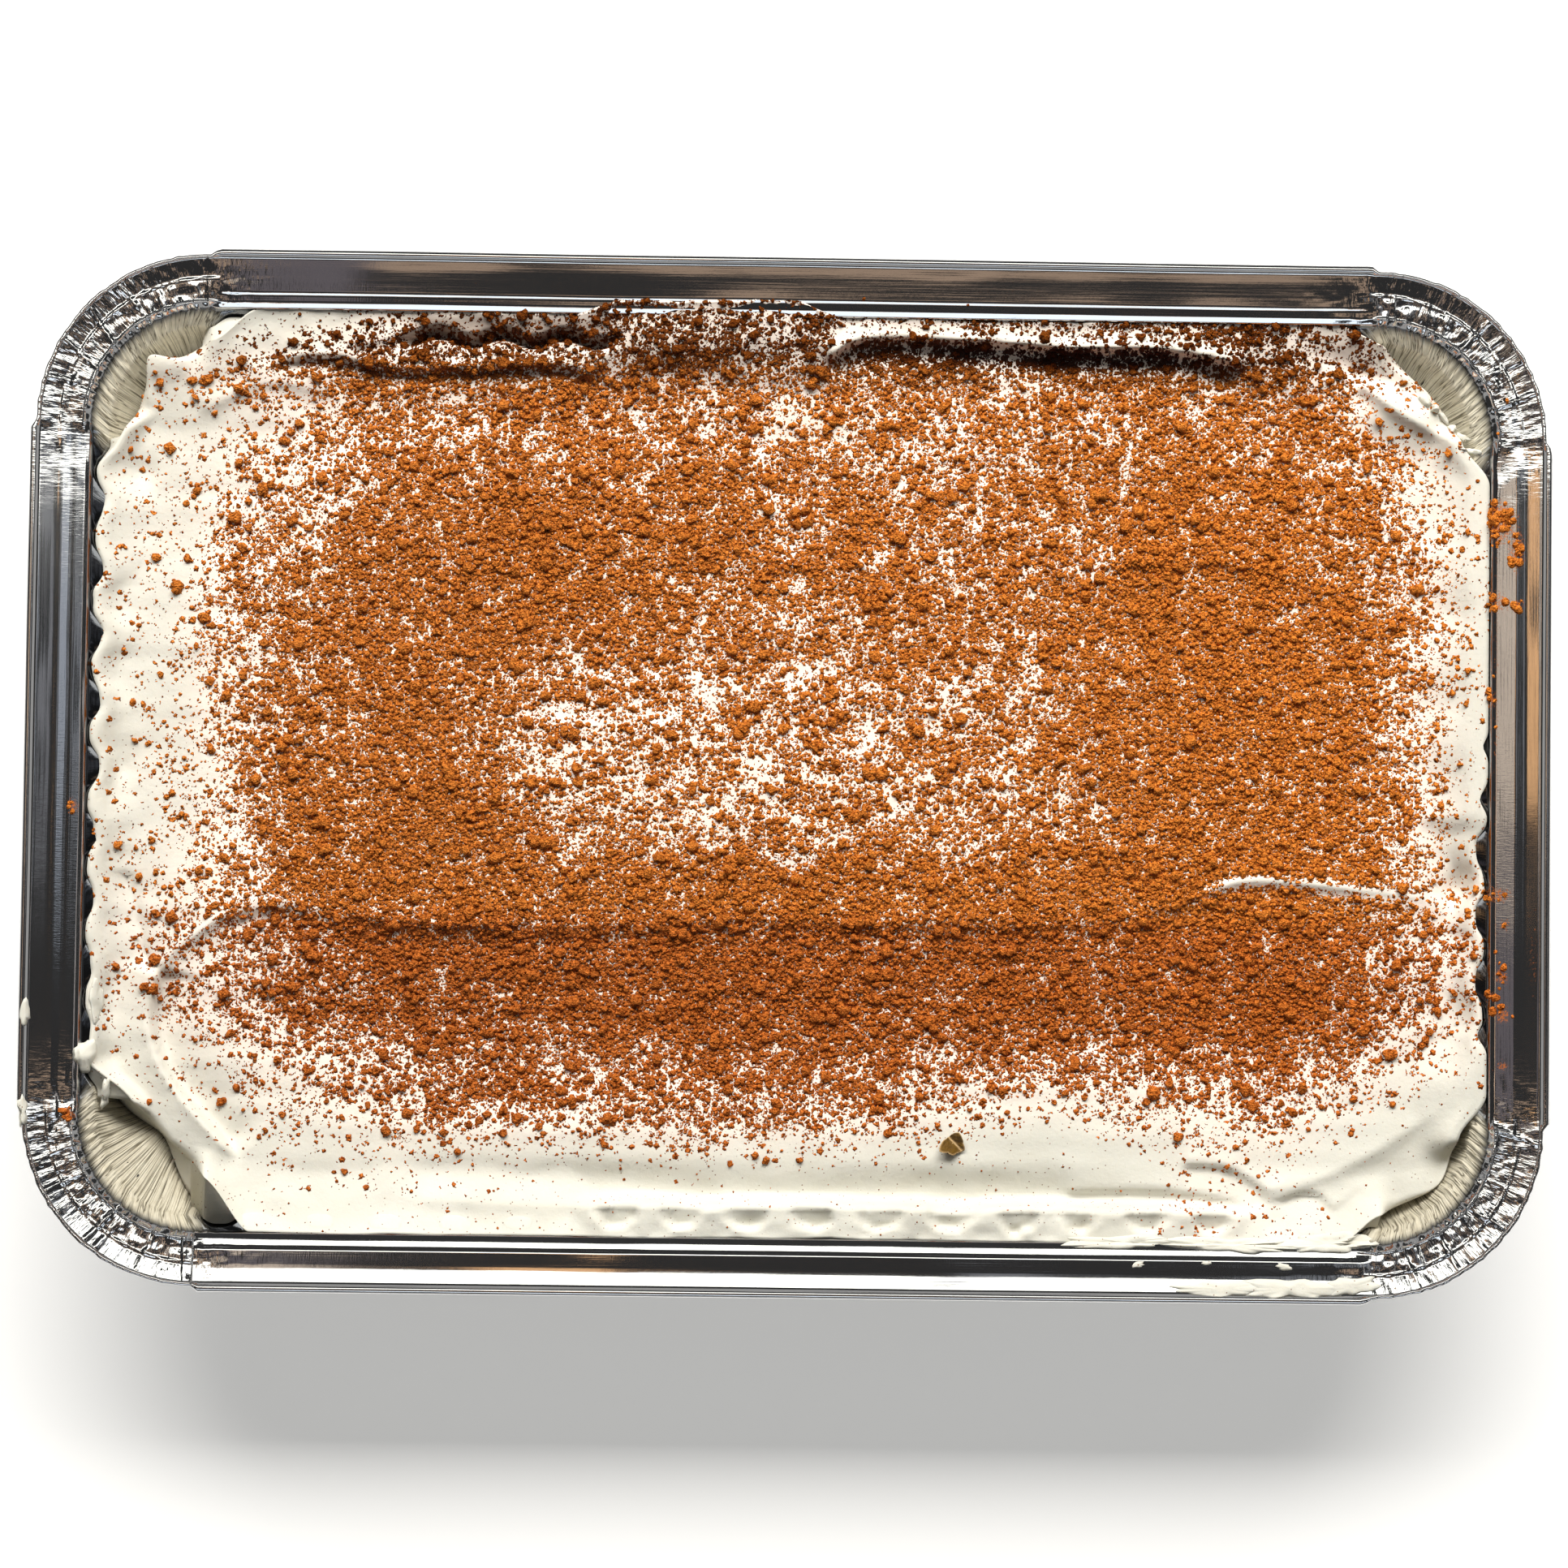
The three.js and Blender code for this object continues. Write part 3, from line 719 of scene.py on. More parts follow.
# Crests that the spatula left. Each has its height, how far it reaches behind and in front, the
# depth and width of the hollow in front of it, and its way. Behind it is the left of the way.
CRESTS = {
    "long crest": (0.9, 10.0, 2.8, 0.4, 8.0, [
        (-130.2, -40.9), (-116.2, -29.8), (-105.4, -26.8), (-88.4, -31.0), (-62.9, -32.3),
        (-11.9, -29.9), (13.6, -30.4), (64.5, -29.7), (76.4, -27.0), (89.9, -21.8),
        (100.1, -20.4), (123.9, -22.7), (139.2, -24.5),
    ]),
    "fold in the long crest": (0.6, 2.5, 0.6, 0.3, 2.0, [
        (-92.0, -29.3), (-84.0, -30.6), (-74.0, -31.4), (-62.0, -31.6), (-52.0, -30.4),
    ]),
    "left lip of the long crest": (0.7, 2.2, 1.6, 0.0, 1.0, [
        (-131.0, -41.5), (-124.0, -35.2), (-117.0, -30.6), (-109.0, -28.2), (-102.0, -27.8),
    ]),
    "right lip of the long crest": (0.6, 1.8, 1.6, 0.0, 1.0, [
        (86.0, -23.2), (94.0, -20.6), (106.0, -20.6), (122.0, -22.3),
    ]),
    "end of the trough": (2.2, 5.0, 0.7, 2.4, 7.0, [
        (-113.0, -80.9), (-125.9, -66.5), (-130.6, -57.6), (-131.6, -49.9), (-130.2, -40.9),
    ]),
    "groove at the left": (-1.6, 1.6, 1.6, 0.0, 1.0, [
        (-137.4, -21.3), (-135.1, -29.9), (-132.7, -40.9),
    ]),
    "fold at the back left": (1.7, 4.0, 0.4, 1.5, 2.0, [
        (-107.3, 85.0), (-96.1, 86.3), (-81.9, 83.6), (-59.9, 84.6), (-46.8, 84.8), (-41.8, 81.6),
    ]),
    "fold at the back right": (3.4, 4.0, 0.5, 4.2, 5.0, [
        (6.0, 86.0), (14.3, 91.2), (35.9, 91.3), (57.6, 90.0), (73.8, 90.2), (84.9, 88.9),
        (95.0, 86.8),
    ]),
    "front edge": (1.1, 2.5, 2.2, 0.0, 1.0, [
        (-84.0, -88.0), (-19.6, -89.6), (22.9, -88.4), (73.9, -89.3),
    ]),
    "front right lobe": (1.2, 5.0, 2.6, 0.4, 4.0, [
        (98.0, -84.5), (111.8, -81.6), (126.3, -73.9), (140.8, -63.7),
    ]),
    "smear at the back right": (1.8, 4.0, 1.3, 0.4, 3.0, [
        (118.0, 84.0), (122.5, 80.6), (126.8, 77.3), (137.9, 71.5),
    ]),
    "small fold at the back left": (0.9, 3.0, 0.6, 0.9, 2.0, [
        (-92.2, 87.7), (-85.3, 89.7), (-78.1, 91.5),
    ]),
    "swoop at the back left": (0.9, 6.0, 2.2, 0.5, 4.0, [
        (-123.9, 74.0), (-113.3, 79.5), (-106.3, 80.4), (-95.6, 78.8),
    ]),
    "curl at the front right": (1.1, 4.0, 1.1, 0.8, 4.0, [
        (82.2, -78.8), (90.7, -79.2), (95.5, -81.1), (99.8, -84.1), (101.2, -87.0),
    ]),
    "second curl at the front right": (1.0, 4.5, 1.2, 0.8, 4.0, [
        (56.8, -85.1), (73.8, -84.4), (84.0, -84.9), (91.8, -86.3), (97.6, -88.8),
    ]),
    "lobe at the front right": (1.0, 3.5, 0.7, 0.9, 2.4, [
        (102.0, -86.5), (107.0, -84.6), (111.5, -85.2), (114.5, -88.5),
    ]),
    "faint line at the right": (0.7, 5.0, 1.6, 0.2, 3.0, [
        (64.0, 45.4), (89.0, 46.2), (110.0, 41.5),
    ]),
}

# Broad dips, and lumps with a negative depth: middle, half sizes, turn in degrees, depth
DIPS = {
    "trough": (4, -54, 124, 17, 0, 2.3),
    "front hollow left": (-67, -83.4, 10, 3.5, 0, 1.0),
    "front hollow": (-25, -86.0, 30, 4.6, -4, 2.2),
    "front trough": (36, -87.0, 32, 4.4, 0, 2.9),
    "back left": (-60, 75, 45, 7, 2, 0.9),
    "back right": (60, 80, 42, 6, -2, 1.1),
    "middle": (0, 25, 80, 26, 4, 0.5),
    "peak back right": (127, 76.5, 7.5, 4.5, -30, -2.2),
    "peak back left": (-131, 84, 4.5, 4.5, 0, -1.6),
    "rise at the back": (-17, 92, 25, 5, 0, -1.8),
    "pit left": (-141, 12, 3, 16, 0, 0.9),
    "dent back left": (-135.3, 61.5, 2.8, 3.2, 0, 1.2),
    "soft hollow back right": (119.5, 86, 11.5, 2.8, -24, 1.7),
    "pinch front right": (86.5, -89.5, 3.2, 1.6, 10, 1.2),
    "second pinch front right": (94.5, -90.0, 3.0, 1.5, -15, 1.2),
    "pit right": (141, -21, 3.0, 5, 0, 2.4),
    "torn hollow right": (142.4, 47.5, 2.0, 4.5, 0, 1.9),
    "small hollow right": (141.3, 34.5, 1.4, 2.9, 0, 1.3),
}


# The share of a crest's way over which either end rises
CREST_TAPER = 0.06


def cream_height(x, y, edge):
    """The cream's height, where edge is the distance to its outline."""
    z = np.full(x.shape, CREAM_LEVEL)
    for height, reach_behind, reach_front, depth, width, path in CRESTS.values():
        away, side, share = Path(path).measure(x, y)
        behind = height * np.exp(-away / reach_behind)
        in_front = height * np.exp(-((away / reach_front) ** 2))
        in_front = in_front - depth * (1 - np.exp(-away / 0.8)) * np.exp(-((away / width) ** 2))
        taper = smooth(share / CREST_TAPER) * smooth((1 - share) / CREST_TAPER)
        z += np.where(side > 0, behind, in_front) * taper
    for middle_x, middle_y, half_x, half_y, turn, depth in DIPS.values():
        turn = math.radians(turn)
        along = ((x - middle_x) * math.cos(turn) + (y - middle_y) * math.sin(turn)) / half_x
        across = ((y - middle_y) * math.cos(turn) - (x - middle_x) * math.sin(turn)) / half_y
        z -= depth * np.exp(-(along**4) - across**2)
    z += (1.9 + 0.9 * smooth((-80 - x) / 30)) * smooth((y - 66) / 26)
    z += 0.40 * Noise(51)(x / 30, y / 26) + 0.20 * Noise(52)(x / 38, y / 3.2)
    z += 0.10 * Noise(53)(x / 6, y / 5) + 0.03 * Noise(54)(x / 1.7, y / 1.7)
    # near the foil the cream is rougher
    margin = smooth(1 - edge / 12)
    z += margin * (0.45 * Noise(55)(x / 5.5, y / 5.5) + 0.22 * Noise(56)(x / 2.6, y / 2.6))
    return z


def by_corner(x, y, values):
    """Each place's value out of those of the four corners."""
    front = np.where(x < 0, values["front_left"], values["front_right"])
    back = np.where(x < 0, values["back_left"], values["back_right"])
    return np.where(y < 0, front, back)


def cream_inset(z):
    """How far in the cream's side lies from the tray's outline at a height."""
    return WALL_TOP_INSET + CREAM_GAP + (SHELF_Z - z) * WALL_DRAFT


def rounded_place(u, v, half_x, half_y, cuts):
    """A square grid's point, moved into the rounded corners of the outline."""
    x, y = u * half_x, v * half_y
    cut = by_corner(x, y, cuts)
    flat = by_corner(x, y, CORNER_FLAT)
    p = np.maximum((np.abs(x) - (half_x - cut)) / cut, 0)
    q = np.maximum((np.abs(y) - (half_y - cut)) / cut, 0)
    both = (p > 0) & (q > 0)
    reach_x = np.sqrt(1 - q * q / 2) * (1 - flat) + (1 - q / 2) * flat
    reach_y = np.sqrt(1 - p * p / 2) * (1 - flat) + (1 - p / 2) * flat
    round_x = np.sign(x) * (half_x - cut + cut * p * reach_x)
    round_y = np.sign(y) * (half_y - cut + cut * q * reach_y)
    return np.where(both, round_x, x), np.where(both, round_y, y)


def flute_share(along, straight):
    """From 0 at a rib to 1 in the middle of a recess, along a side's straight stretch."""
    turns = (along + straight) / FLUTE_PITCH
    return smooth((1 - np.cos(2 * math.pi * turns)) / 2) * smooth((straight - np.abs(along)) / 3)


# How far in the cream's edge lies where it covers the shelf
COVERED_INSET = 12.1
# The stretch of the front where the cream has pockets, and of the back where it has come away
POCKETS = (-42.0, 98.0)
BACK_HOLLOW = (-80.0, -38.0)
# The stretch of the back where it climbs onto the rim
CLIMB = (-41.0, 5.0)


def stretch_share(along, ends, ease):
    """1 within a stretch, falling to 0 over a little way past its ends."""
    return smooth((along - ends[0]) / ease + 0.5) * smooth((ends[1] - along) / ease + 0.5)


def tabs_show(x, y):
    """1 where the shelf's tabs between the flutes are bare, as they are on the left and in one
    stretch at the right, and 0 where cream covers them."""
    at_left = np.where(x < 0, smooth((76 - y) / 6), 0.0)
    at_right = np.where(x > 0, smooth((-6 - y) / 5) * smooth((y + 56) / 6), 0.0)
    return np.maximum(at_left, at_right)


class Edge:
    """How the cream meets the foil at each place of its outline: the height there, how far the
    outline moves out to get there, and over what width the cream climbs or drops to it."""

    def __init__(self, x, y, half_x, half_y, from_side, from_long):
        cut = by_corner(x, y, CORNER_CUT)
        uneven = Noise(61)(x / 9, y / 9)
        fine = Noise(62)(x / 3.1, y / 3.1)
        straight_side = smooth((half_y - cut * 0.72 - np.abs(y)) / 9)
        straight_long = smooth((half_x - cut * 0.72 - np.abs(x)) / 9)
        # the height is held until the outline has drawn in from the shelf
        held_side = smooth((half_y - cut * 0.72 + 6 - np.abs(y)) / 6)
        held_long = smooth((half_x - cut * 0.72 + 6 - np.abs(x)) / 6)
        recess_side = flute_share(y, WALL_STRAIGHT[1])
        front = y < 0
        pockets = np.where(front, stretch_share(x, POCKETS, 9.0), 0.0)
        hollow = np.where(front, 0.0, stretch_share(x, BACK_HOLLOW, 8.0))
        corner_z = np.where((x < 0) & (y < 0), 32.6, 34.2) + 0.5 * uneven
        shelf = SHELF_Z + rim_wave(x, y)
        side_z = shelf + 0.3 + 0.4 * recess_side + 0.25 * fine
        # along the front and the back the cream lies over the shelf, up to the step
        step_z = rim_z(COVERED_INSET, x, y)
        ragged = 1 + 0.25 * Noise(63)(x / 4.0, 0.5) + 0.1 * Noise(63)(x / 1.3, 7.5)
        onto_rim = np.where(front, 0.0, 2.7 * stretch_share(x, CLIMB, 9.0) * ragged)
        long_inset = COVERED_INSET - onto_rim
        long_z = rim_z(long_inset, x, y) + 0.35 + 0.2 * fine
        side_z = corner_z + (side_z - corner_z) * held_side
        long_z = corner_z + (long_z - corner_z) * held_long
        bare = tabs_show(x, y)
        tip = 1.0 + np.where(x < 0, 0.6 * smooth((-5 - y) / 10), 0.0)
        over = tip + (0.3 - tip) * recess_side + 0.3 * uneven + 0.25 * fine
        covered = WALL_TOP_INSET - COVERED_INSET - FLUTE_DEPTH * recess_side
        over = over + (covered - over) * (1 - bare)
        side_out = (SHELF_Z - CREAM_EDGE_Z) * WALL_DRAFT + FLUTE_DEPTH * recess_side + over
        side_z = side_z + (step_z - 0.1 - side_z) * (1 - bare) * held_side
        long_out = cream_inset(CREAM_EDGE_Z) - long_inset + 0.25 * uneven
        self.side_out = side_out * straight_side
        self.long_out = long_out * straight_long
        side_width = 4.5 + 1.8 * uneven + 3.5 * (1 - bare)
        long_width = 9.0 + 2.0 * uneven - 4.0 * pockets
        self.pockets, self.hollow = pockets, hollow
        near_side = np.clip(1.3 - from_side / side_width, 0, 1) ** 2 * held_side
        near_long = np.clip(1 - from_long / long_width, 0, 1) ** 1.6 * held_long
        self.side_z, self.long_z = side_z, long_z
        self.near_side, self.near_long = near_side, near_long
        # the cream rolls over towards its lip in the corners
        in_corner = (1 - held_side) * (1 - held_long)
        near = np.minimum(from_side, from_long)
        wide = np.where((x < 0) & (y < 0), 7.0, 3.5)
        self.near_corner = np.clip(1 - near / wide, 0, 1) ** 2.2 * in_corner
        self.corner_z = corner_z

    def meet(self, z, x, y):
        """The cream's height z at places that are brought to the foil, with its pockets."""
        z = z + (self.side_z - z) * self.near_side
        z = z + (self.long_z - z) * self.near_long
        z = z + (self.corner_z - z) * self.near_corner
        # in front of the flutes' recesses it has slumped into half-round pockets
        inset = HALF_Y - np.abs(y)
        turns = (x + 1.3 * Noise(66)(x / 16.0, 0.5) + WALL_STRAIGHT[0]) / FLUTE_PITCH
        number = np.floor(turns)
        from_middle = (turns - number - 0.5) * FLUTE_PITCH
        wide = 4.9 + 0.8 * Noise(67)(number * 0.77, 0.5)
        tall = 5.1 + 0.5 * Noise(68)(number * 0.83, 0.5)
        lean = 0.35 * Noise(69)(number * 0.71, 0.5)
        torn = 18.6 + 0.5 * Noise(64)(x / 2.6, 1.5) + 0.35 * Noise(64, creased=True)(x / 1.1, 4.5)
        down = (torn - inset) / tall
        across = (from_middle + lean * (inset - 15.4)) / wide + 0.10 * Noise(65)(x / 1.7, y / 1.7)
        round_off = np.hypot(across, np.maximum(down, 0))
        heaped = 39.6 + 0.35 * Noise(70)(x / 7.0, y / 5.0) + 0.3 * Noise(70)(x / 2.4, y / 2.0)
        ridge = smooth((20.3 + 0.7 * Noise(70)(x / 9.0, 3.5) - inset) / 2.3) * self.pockets
        z = z + (heaped - z) * ridge
        within = smooth((1.0 - round_off) / 0.18) * smooth(down / 0.10)
        fallen = 0.55 + 0.2 * Noise(69)(number * 0.9, 4.5) + 2.3 * np.clip(down, 0, 1)
        z = z - self.pockets * within * fallen * smooth((inset - 12.8) / 0.6)
        # at the back left it has come away from the wall
        gap = np.exp(-(((inset - 17.2 - 0.9 * np.cos(2 * math.pi * turns)) / 1.2) ** 4))
        return z - 5.0 * self.hollow * gap


# Places where the outline is drawn out or pushed in: place, movement and reach
PULLS = (
    (121.0, 90.0, 1.0, 2.2, 6.5),
    (-131.0, 81.5, -2.6, 3.6, 3.2),
    (-136.0, 73.0, 1.6, 0.4, 3.5),
    (134.5, -81.5, 1.6, -1.2, 6.0),
    (100.0, -88.0, 0.0, 1.5, 5.0),
    (146.5, 8.0, -2.2, 0.0, 1.7),
    (146.5, -3.0, -2.4, 0.0, 2.4),
)


# Where the sieve was shaken: middle, half sizes, how flat-topped each patch is, and how heavy
SIFTED = {
    "left": (-83, -2, 25, 50, 3, 2.4),
    "left fringe": (-109, 26, 12, 42, 3, 0.35),
    "right fringe": (123, 20, 12, 42, 3, 0.45),
    "back middle": (20, 86, 26, 6, 2, 0.7),
    "back left gap": (-70, 74, 12, 8, 2, 0.5),
    "back right": (64, 58, 14, 22, 2, 0.5),
    "front": (-18, -66, 10, 8, 2, 0.4),
    "above the crest": (14, -15, 24, 6, 2, 0.55),
    "back left": (-54, 45, 40, 25, 3, 1.6),
    "back": (14, 67, 98, 36, 6, 1.05),
    "back gap": (-14, 66, 14, 8, 2, -0.35),
    "front band": (7, -36, 101, 18, 4, 4.2),
    "front left": (-22, -58, 50, 13.5, 3, 1.5),
    "front right": (50, -52, 70, 12, 3, 0.36),
    "bare front right": (98, -75, 44, 12, 2, -0.15),
    "right": (91, 12, 31, 66, 4, 1.85),
    "right middle": (95, 10, 20, 56, 2, 1.8),
    "middle": (26, 14, 66, 44, 4, 0.58),
    "left of the middle": (-58, -12, 26, 12, 2, 1.4),
    "right of the middle": (44, 14, 22, 15, 2, 0.7),
    "back left fold": (-70, 82, 34, 6.0, 2, 1.3),
    "fringe": (0, 5, 131, 72, 6, 0.22),
}


def cocoa_cover(x, y):
    """The share of the surface that cocoa hides."""
    amount = np.zeros(x.shape)
    for middle_x, middle_y, half_x, half_y, power, heavy in SIFTED.values():
        away = np.abs((x - middle_x) / half_x) ** power + np.abs((y - middle_y) / half_y) ** power
        amount += heavy * np.exp(-away)
    amount *= 1 + 0.28 * Noise(71)(x / 17, y / 17) + 0.24 * Noise(72)(x / 4.5, y / 16)
    # the bare lip at the crest's right end keeps none
    away, _, share = Path(CRESTS["long crest"][-1]).measure(x, y)
    right_end = smooth((share - 0.72) / 0.06) * smooth((0.98 - share) / 0.04)
    bare = np.exp(-((away / 1.2) ** 2)) * right_end
    # the lit lip of the fold at the back right keeps little, and a bare mass beside it almost none
    away, side, share = Path(CRESTS["fold at the back right"][-1]).measure(x, y)
    lip = np.where(side > 0, np.exp(-((away / 3.2) ** 4)), np.exp(-((away / 0.4) ** 2)))
    mass = np.exp(-((((x - 127.2) / 8.0) ** 2 + ((y - 77.0) / 5.5) ** 2) ** 1.5))
    lip = 0.8 * lip * smooth(share / 0.04) * smooth((1 - share) / 0.1)
    bare = np.maximum(bare, np.maximum(lip, mass))
    return (1 - np.exp(-np.maximum(amount, 0))) * (1 - 0.9 * bare)


def clumped(x, y):
    """How cocoa gathers into clumps a few millimetres wide, averaging about 1."""
    return np.exp(0.85 * Noise(81)(x / 2.3, y / 2.3) + 0.5 * Noise(82)(x / 5.5, y / 5.5)) * 0.92


# Where more than this share is hidden, cocoa lies no thicker
MOST_COVER = 0.985


def cocoa_amount(x, y, cover):
    """How thickly cocoa lies where it hides a share of the surface."""
    return -np.log(1 - np.minimum(cover, MOST_COVER)) * clumped(x, y)


def density_fields(x, y, cover):
    """For each kind of cocoa, how thickly its lumps lie."""
    amount = cocoa_amount(x, y, cover)
    thin = np.exp(-amount / 1.5)
    return {
        "cocoa_clusters": amount * (0.25 + thin),
        "cocoa_lumps": amount * (0.4 + thin),
        "cocoa_crumbs": amount,
        "cocoa_pellets": amount,
        "cocoa_grains": 0.55 * amount + 0.09,
    }


# Radii in millimetres and counts of the scattered cocoa, with its ball and how rough that is made
COCOA_KINDS = {
    "cocoa_clusters": {"least": 0.55, "most": 1.3, "count": 2350, "ball": "fine", "rough": 1.9},
    "cocoa_lumps": {"least": 0.42, "most": 0.88, "count": 4600, "ball": "round", "rough": 1.1},
    "cocoa_crumbs": {"least": 0.3, "most": 0.58, "count": 9700, "ball": "coarse", "rough": 0.6},
    "cocoa_pellets": {"least": 0.28, "most": 0.52, "count": 9700, "ball": "coarse", "rough": 0.6},
    "cocoa_grains": {"least": 0.13, "most": 0.32, "count": 19000, "ball": "speck", "rough": 0.1},
}


# Sizes in millimetres of the round clumps in the powder that lies on the cream
POWDER_CLUMPS = (1.3, 0.9, 0.6, 0.4)


def powder_height(tree, place, share):
    """Round clumps of powder: the height of their tops, from 0 to 1, where share is how many of
    the possible ones are there."""
    warp = {"Vector": place, "Scale": 1.6, "Detail": 2.0}
    warp = add_node(tree, "ShaderNodeTexNoise", warp).outputs["Color"]
    uneven = vectors(tree, "MULTIPLY_ADD", warp, (0.9, 0.9, 0.0), place)
    tallest = None
    for number, size in enumerate(POWDER_CLUMPS):
        shifted = vectors(tree, "ADD", uneven, (31.7 * number, 17.3, 0.0))
        cells = {"Vector": shifted, "Scale": 1 / size}
        cells = add_node(tree, "ShaderNodeTexVoronoi", cells, voronoi_dimensions="2D")
        own = add_node(tree, "ShaderNodeSeparateColor", {0: cells.outputs["Color"]}).outputs[0]
        dome = ramp(tree, cells.outputs["Distance"], 0.62, 0.0, ease="SMOOTHERSTEP")
        tall = maths(tree, "MULTIPLY", dome, maths(tree, "LESS_THAN", own, share))
        tall = maths(tree, "MULTIPLY", tall, size / POWDER_CLUMPS[0])
        tallest = tall if tallest is None else maths(tree, "MAXIMUM", tallest, tall)
    return tallest


SPILLED = {"least": 0.3, "most": 1.0, "count": 150, "ball": "fine", "rough": 0.8}


def cream_material(settings):
    """Whipped mascarpone cream, spread with a spatula: satin, a little translucent, with fine air
    holes, and sifted cocoa powder lying in it between the lumps that stand on it."""
    material, tree = new_material("whipped mascarpone cream")
    place = millimetre_coordinates(tree)
    clumps = powder_height(tree, place, attribute(tree, "powder"))
    dusted = ramp(tree, clumps, 0.02, 0.1, ease="SMOOTHSTEP")
    # a haze of cocoa tints it where it is dusted, and there it is also made lighter, as painted
    # light against the shade that the lumps cast; and it is never quite one tone
    tint_and_painted_light = ramp(tree, attribute(tree, "cover"), high=0.45)
    colour = mixed(tree, tint_and_painted_light, (*settings.cream_colour, 1.0), (*settings.dusted_and_lightened_cream, 1.0))
    colour = mixed(tree, soft_noise(tree, place, 0.06, 2.0), colour, "#F1EFEB", "MULTIPLY")
    # fine specks of cocoa a fifth of a millimetre wide
    cells = add_node(tree, "ShaderNodeTexVoronoi", {"Vector": place, "Scale": 0.8})
    colour = mixed(tree, ramp(tree, cells.outputs["Distance"], 0.13, 0.08), colour, "#7A5339")
    # brown on the soaked sides below the lip, and darker brown near the back hollow
    colour = mixed(tree, attribute(tree, "soaked_and_darkened"), colour, "#5A3920")
    # the powder's tone also sets part of its bumps' height, so it is darker where it lies lower:
    # painted shade in its hollows, besides its uneven tone
    tone = soft_noise(tree, place, 1.9, 3.0, Roughness=0.7)
    colour = mixed(tree, dusted, colour, cocoa_colour(tree, settings, place, tone))
    air = soft_noise(tree, place, 0.9, 4.0, Roughness=0.6)
    grain = maths(tree, "MULTIPLY", maths(tree, "MULTIPLY_ADD", tone, 0.6, clumps), dusted)
    height = maths(tree, "MULTIPLY_ADD", air, 0.10, grain)
    cream = {
        "Base Color": colour,
        "Roughness": ramp(tree, dusted, least=0.46, most=0.95),
        "IOR": 1.45,
        "Specular IOR Level": 0.3,
        "Subsurface Weight": 0.1,
        "Subsurface Radius": (1.0, 0.75, 0.5),
        "Subsurface Scale": 1.2 * MM,
        "Normal": bumped(tree, height, 1.0, 0.95),
    }
    finish_material(tree, principled(tree, cream))
    return material


def cocoa_colour(tree, settings, place, tone):
    """Cocoa brown, damp and darker at the left, drier towards the right, in uneven tones, with
    painted shade under the fold at the back right, in front of the long crest and along the back.
    """
    parts = add_node(tree, "ShaderNodeSeparateXYZ", {0: place}).outputs
    across = ramp(tree, parts["X"], -70.0, 110.0)
    base = mixed(tree, across, (*settings.cocoa_damp, 1.0), (*settings.cocoa_dry, 1.0))
    light = mixed(tree, ramp(tree, tone, 0.35, 0.58), "#8A6A4C", "#FFFFFF")
    # painted shade: darker under the fold at the back right
    far = vectors(tree, "ADD", place, (-57.0, -88.3, 0.0))
    far = vectors(tree, "LENGTH", vectors(tree, "MULTIPLY", far, (1 / 50, 1 / 3.4, 0.0)))
    light = mixed(tree, ramp(tree, far, 0.5, 1.1), "#8F7868", light)
    # and a little painted shade over all in front of the long crest, and along the back
    for start, end, painted_shade in ((-27.0, -32.0, "#EEE2EA"), (80.0, 88.0, "#94897F")):
        painted_shade = mixed(tree, ramp(tree, parts["Y"], end, start), painted_shade, "#FFFFFF")
        light = mixed(tree, 1.0, light, painted_shade, "MULTIPLY")
    return mixed(tree, 1.0, base, light, "MULTIPLY")


def cocoa_material(settings):
    """Sifted cocoa powder in soft lumps: dead matt, warm brown, uneven in tone."""
    material, tree = new_material("sifted cocoa powder")
    place = millimetre_coordinates(tree)
    tone = soft_noise(tree, place, 1.3, 3.0, Roughness=0.7)
    cocoa = {
        "Base Color": cocoa_colour(tree, settings, place, tone),
        "Roughness": 0.95,
        "Specular IOR Level": 0.1,
        "Normal": bumped(tree, soft_noise(tree, place, 2.4, 3.0), 1.0, 1.5),
    }
    finish_material(tree, principled(tree, cocoa))
    return material


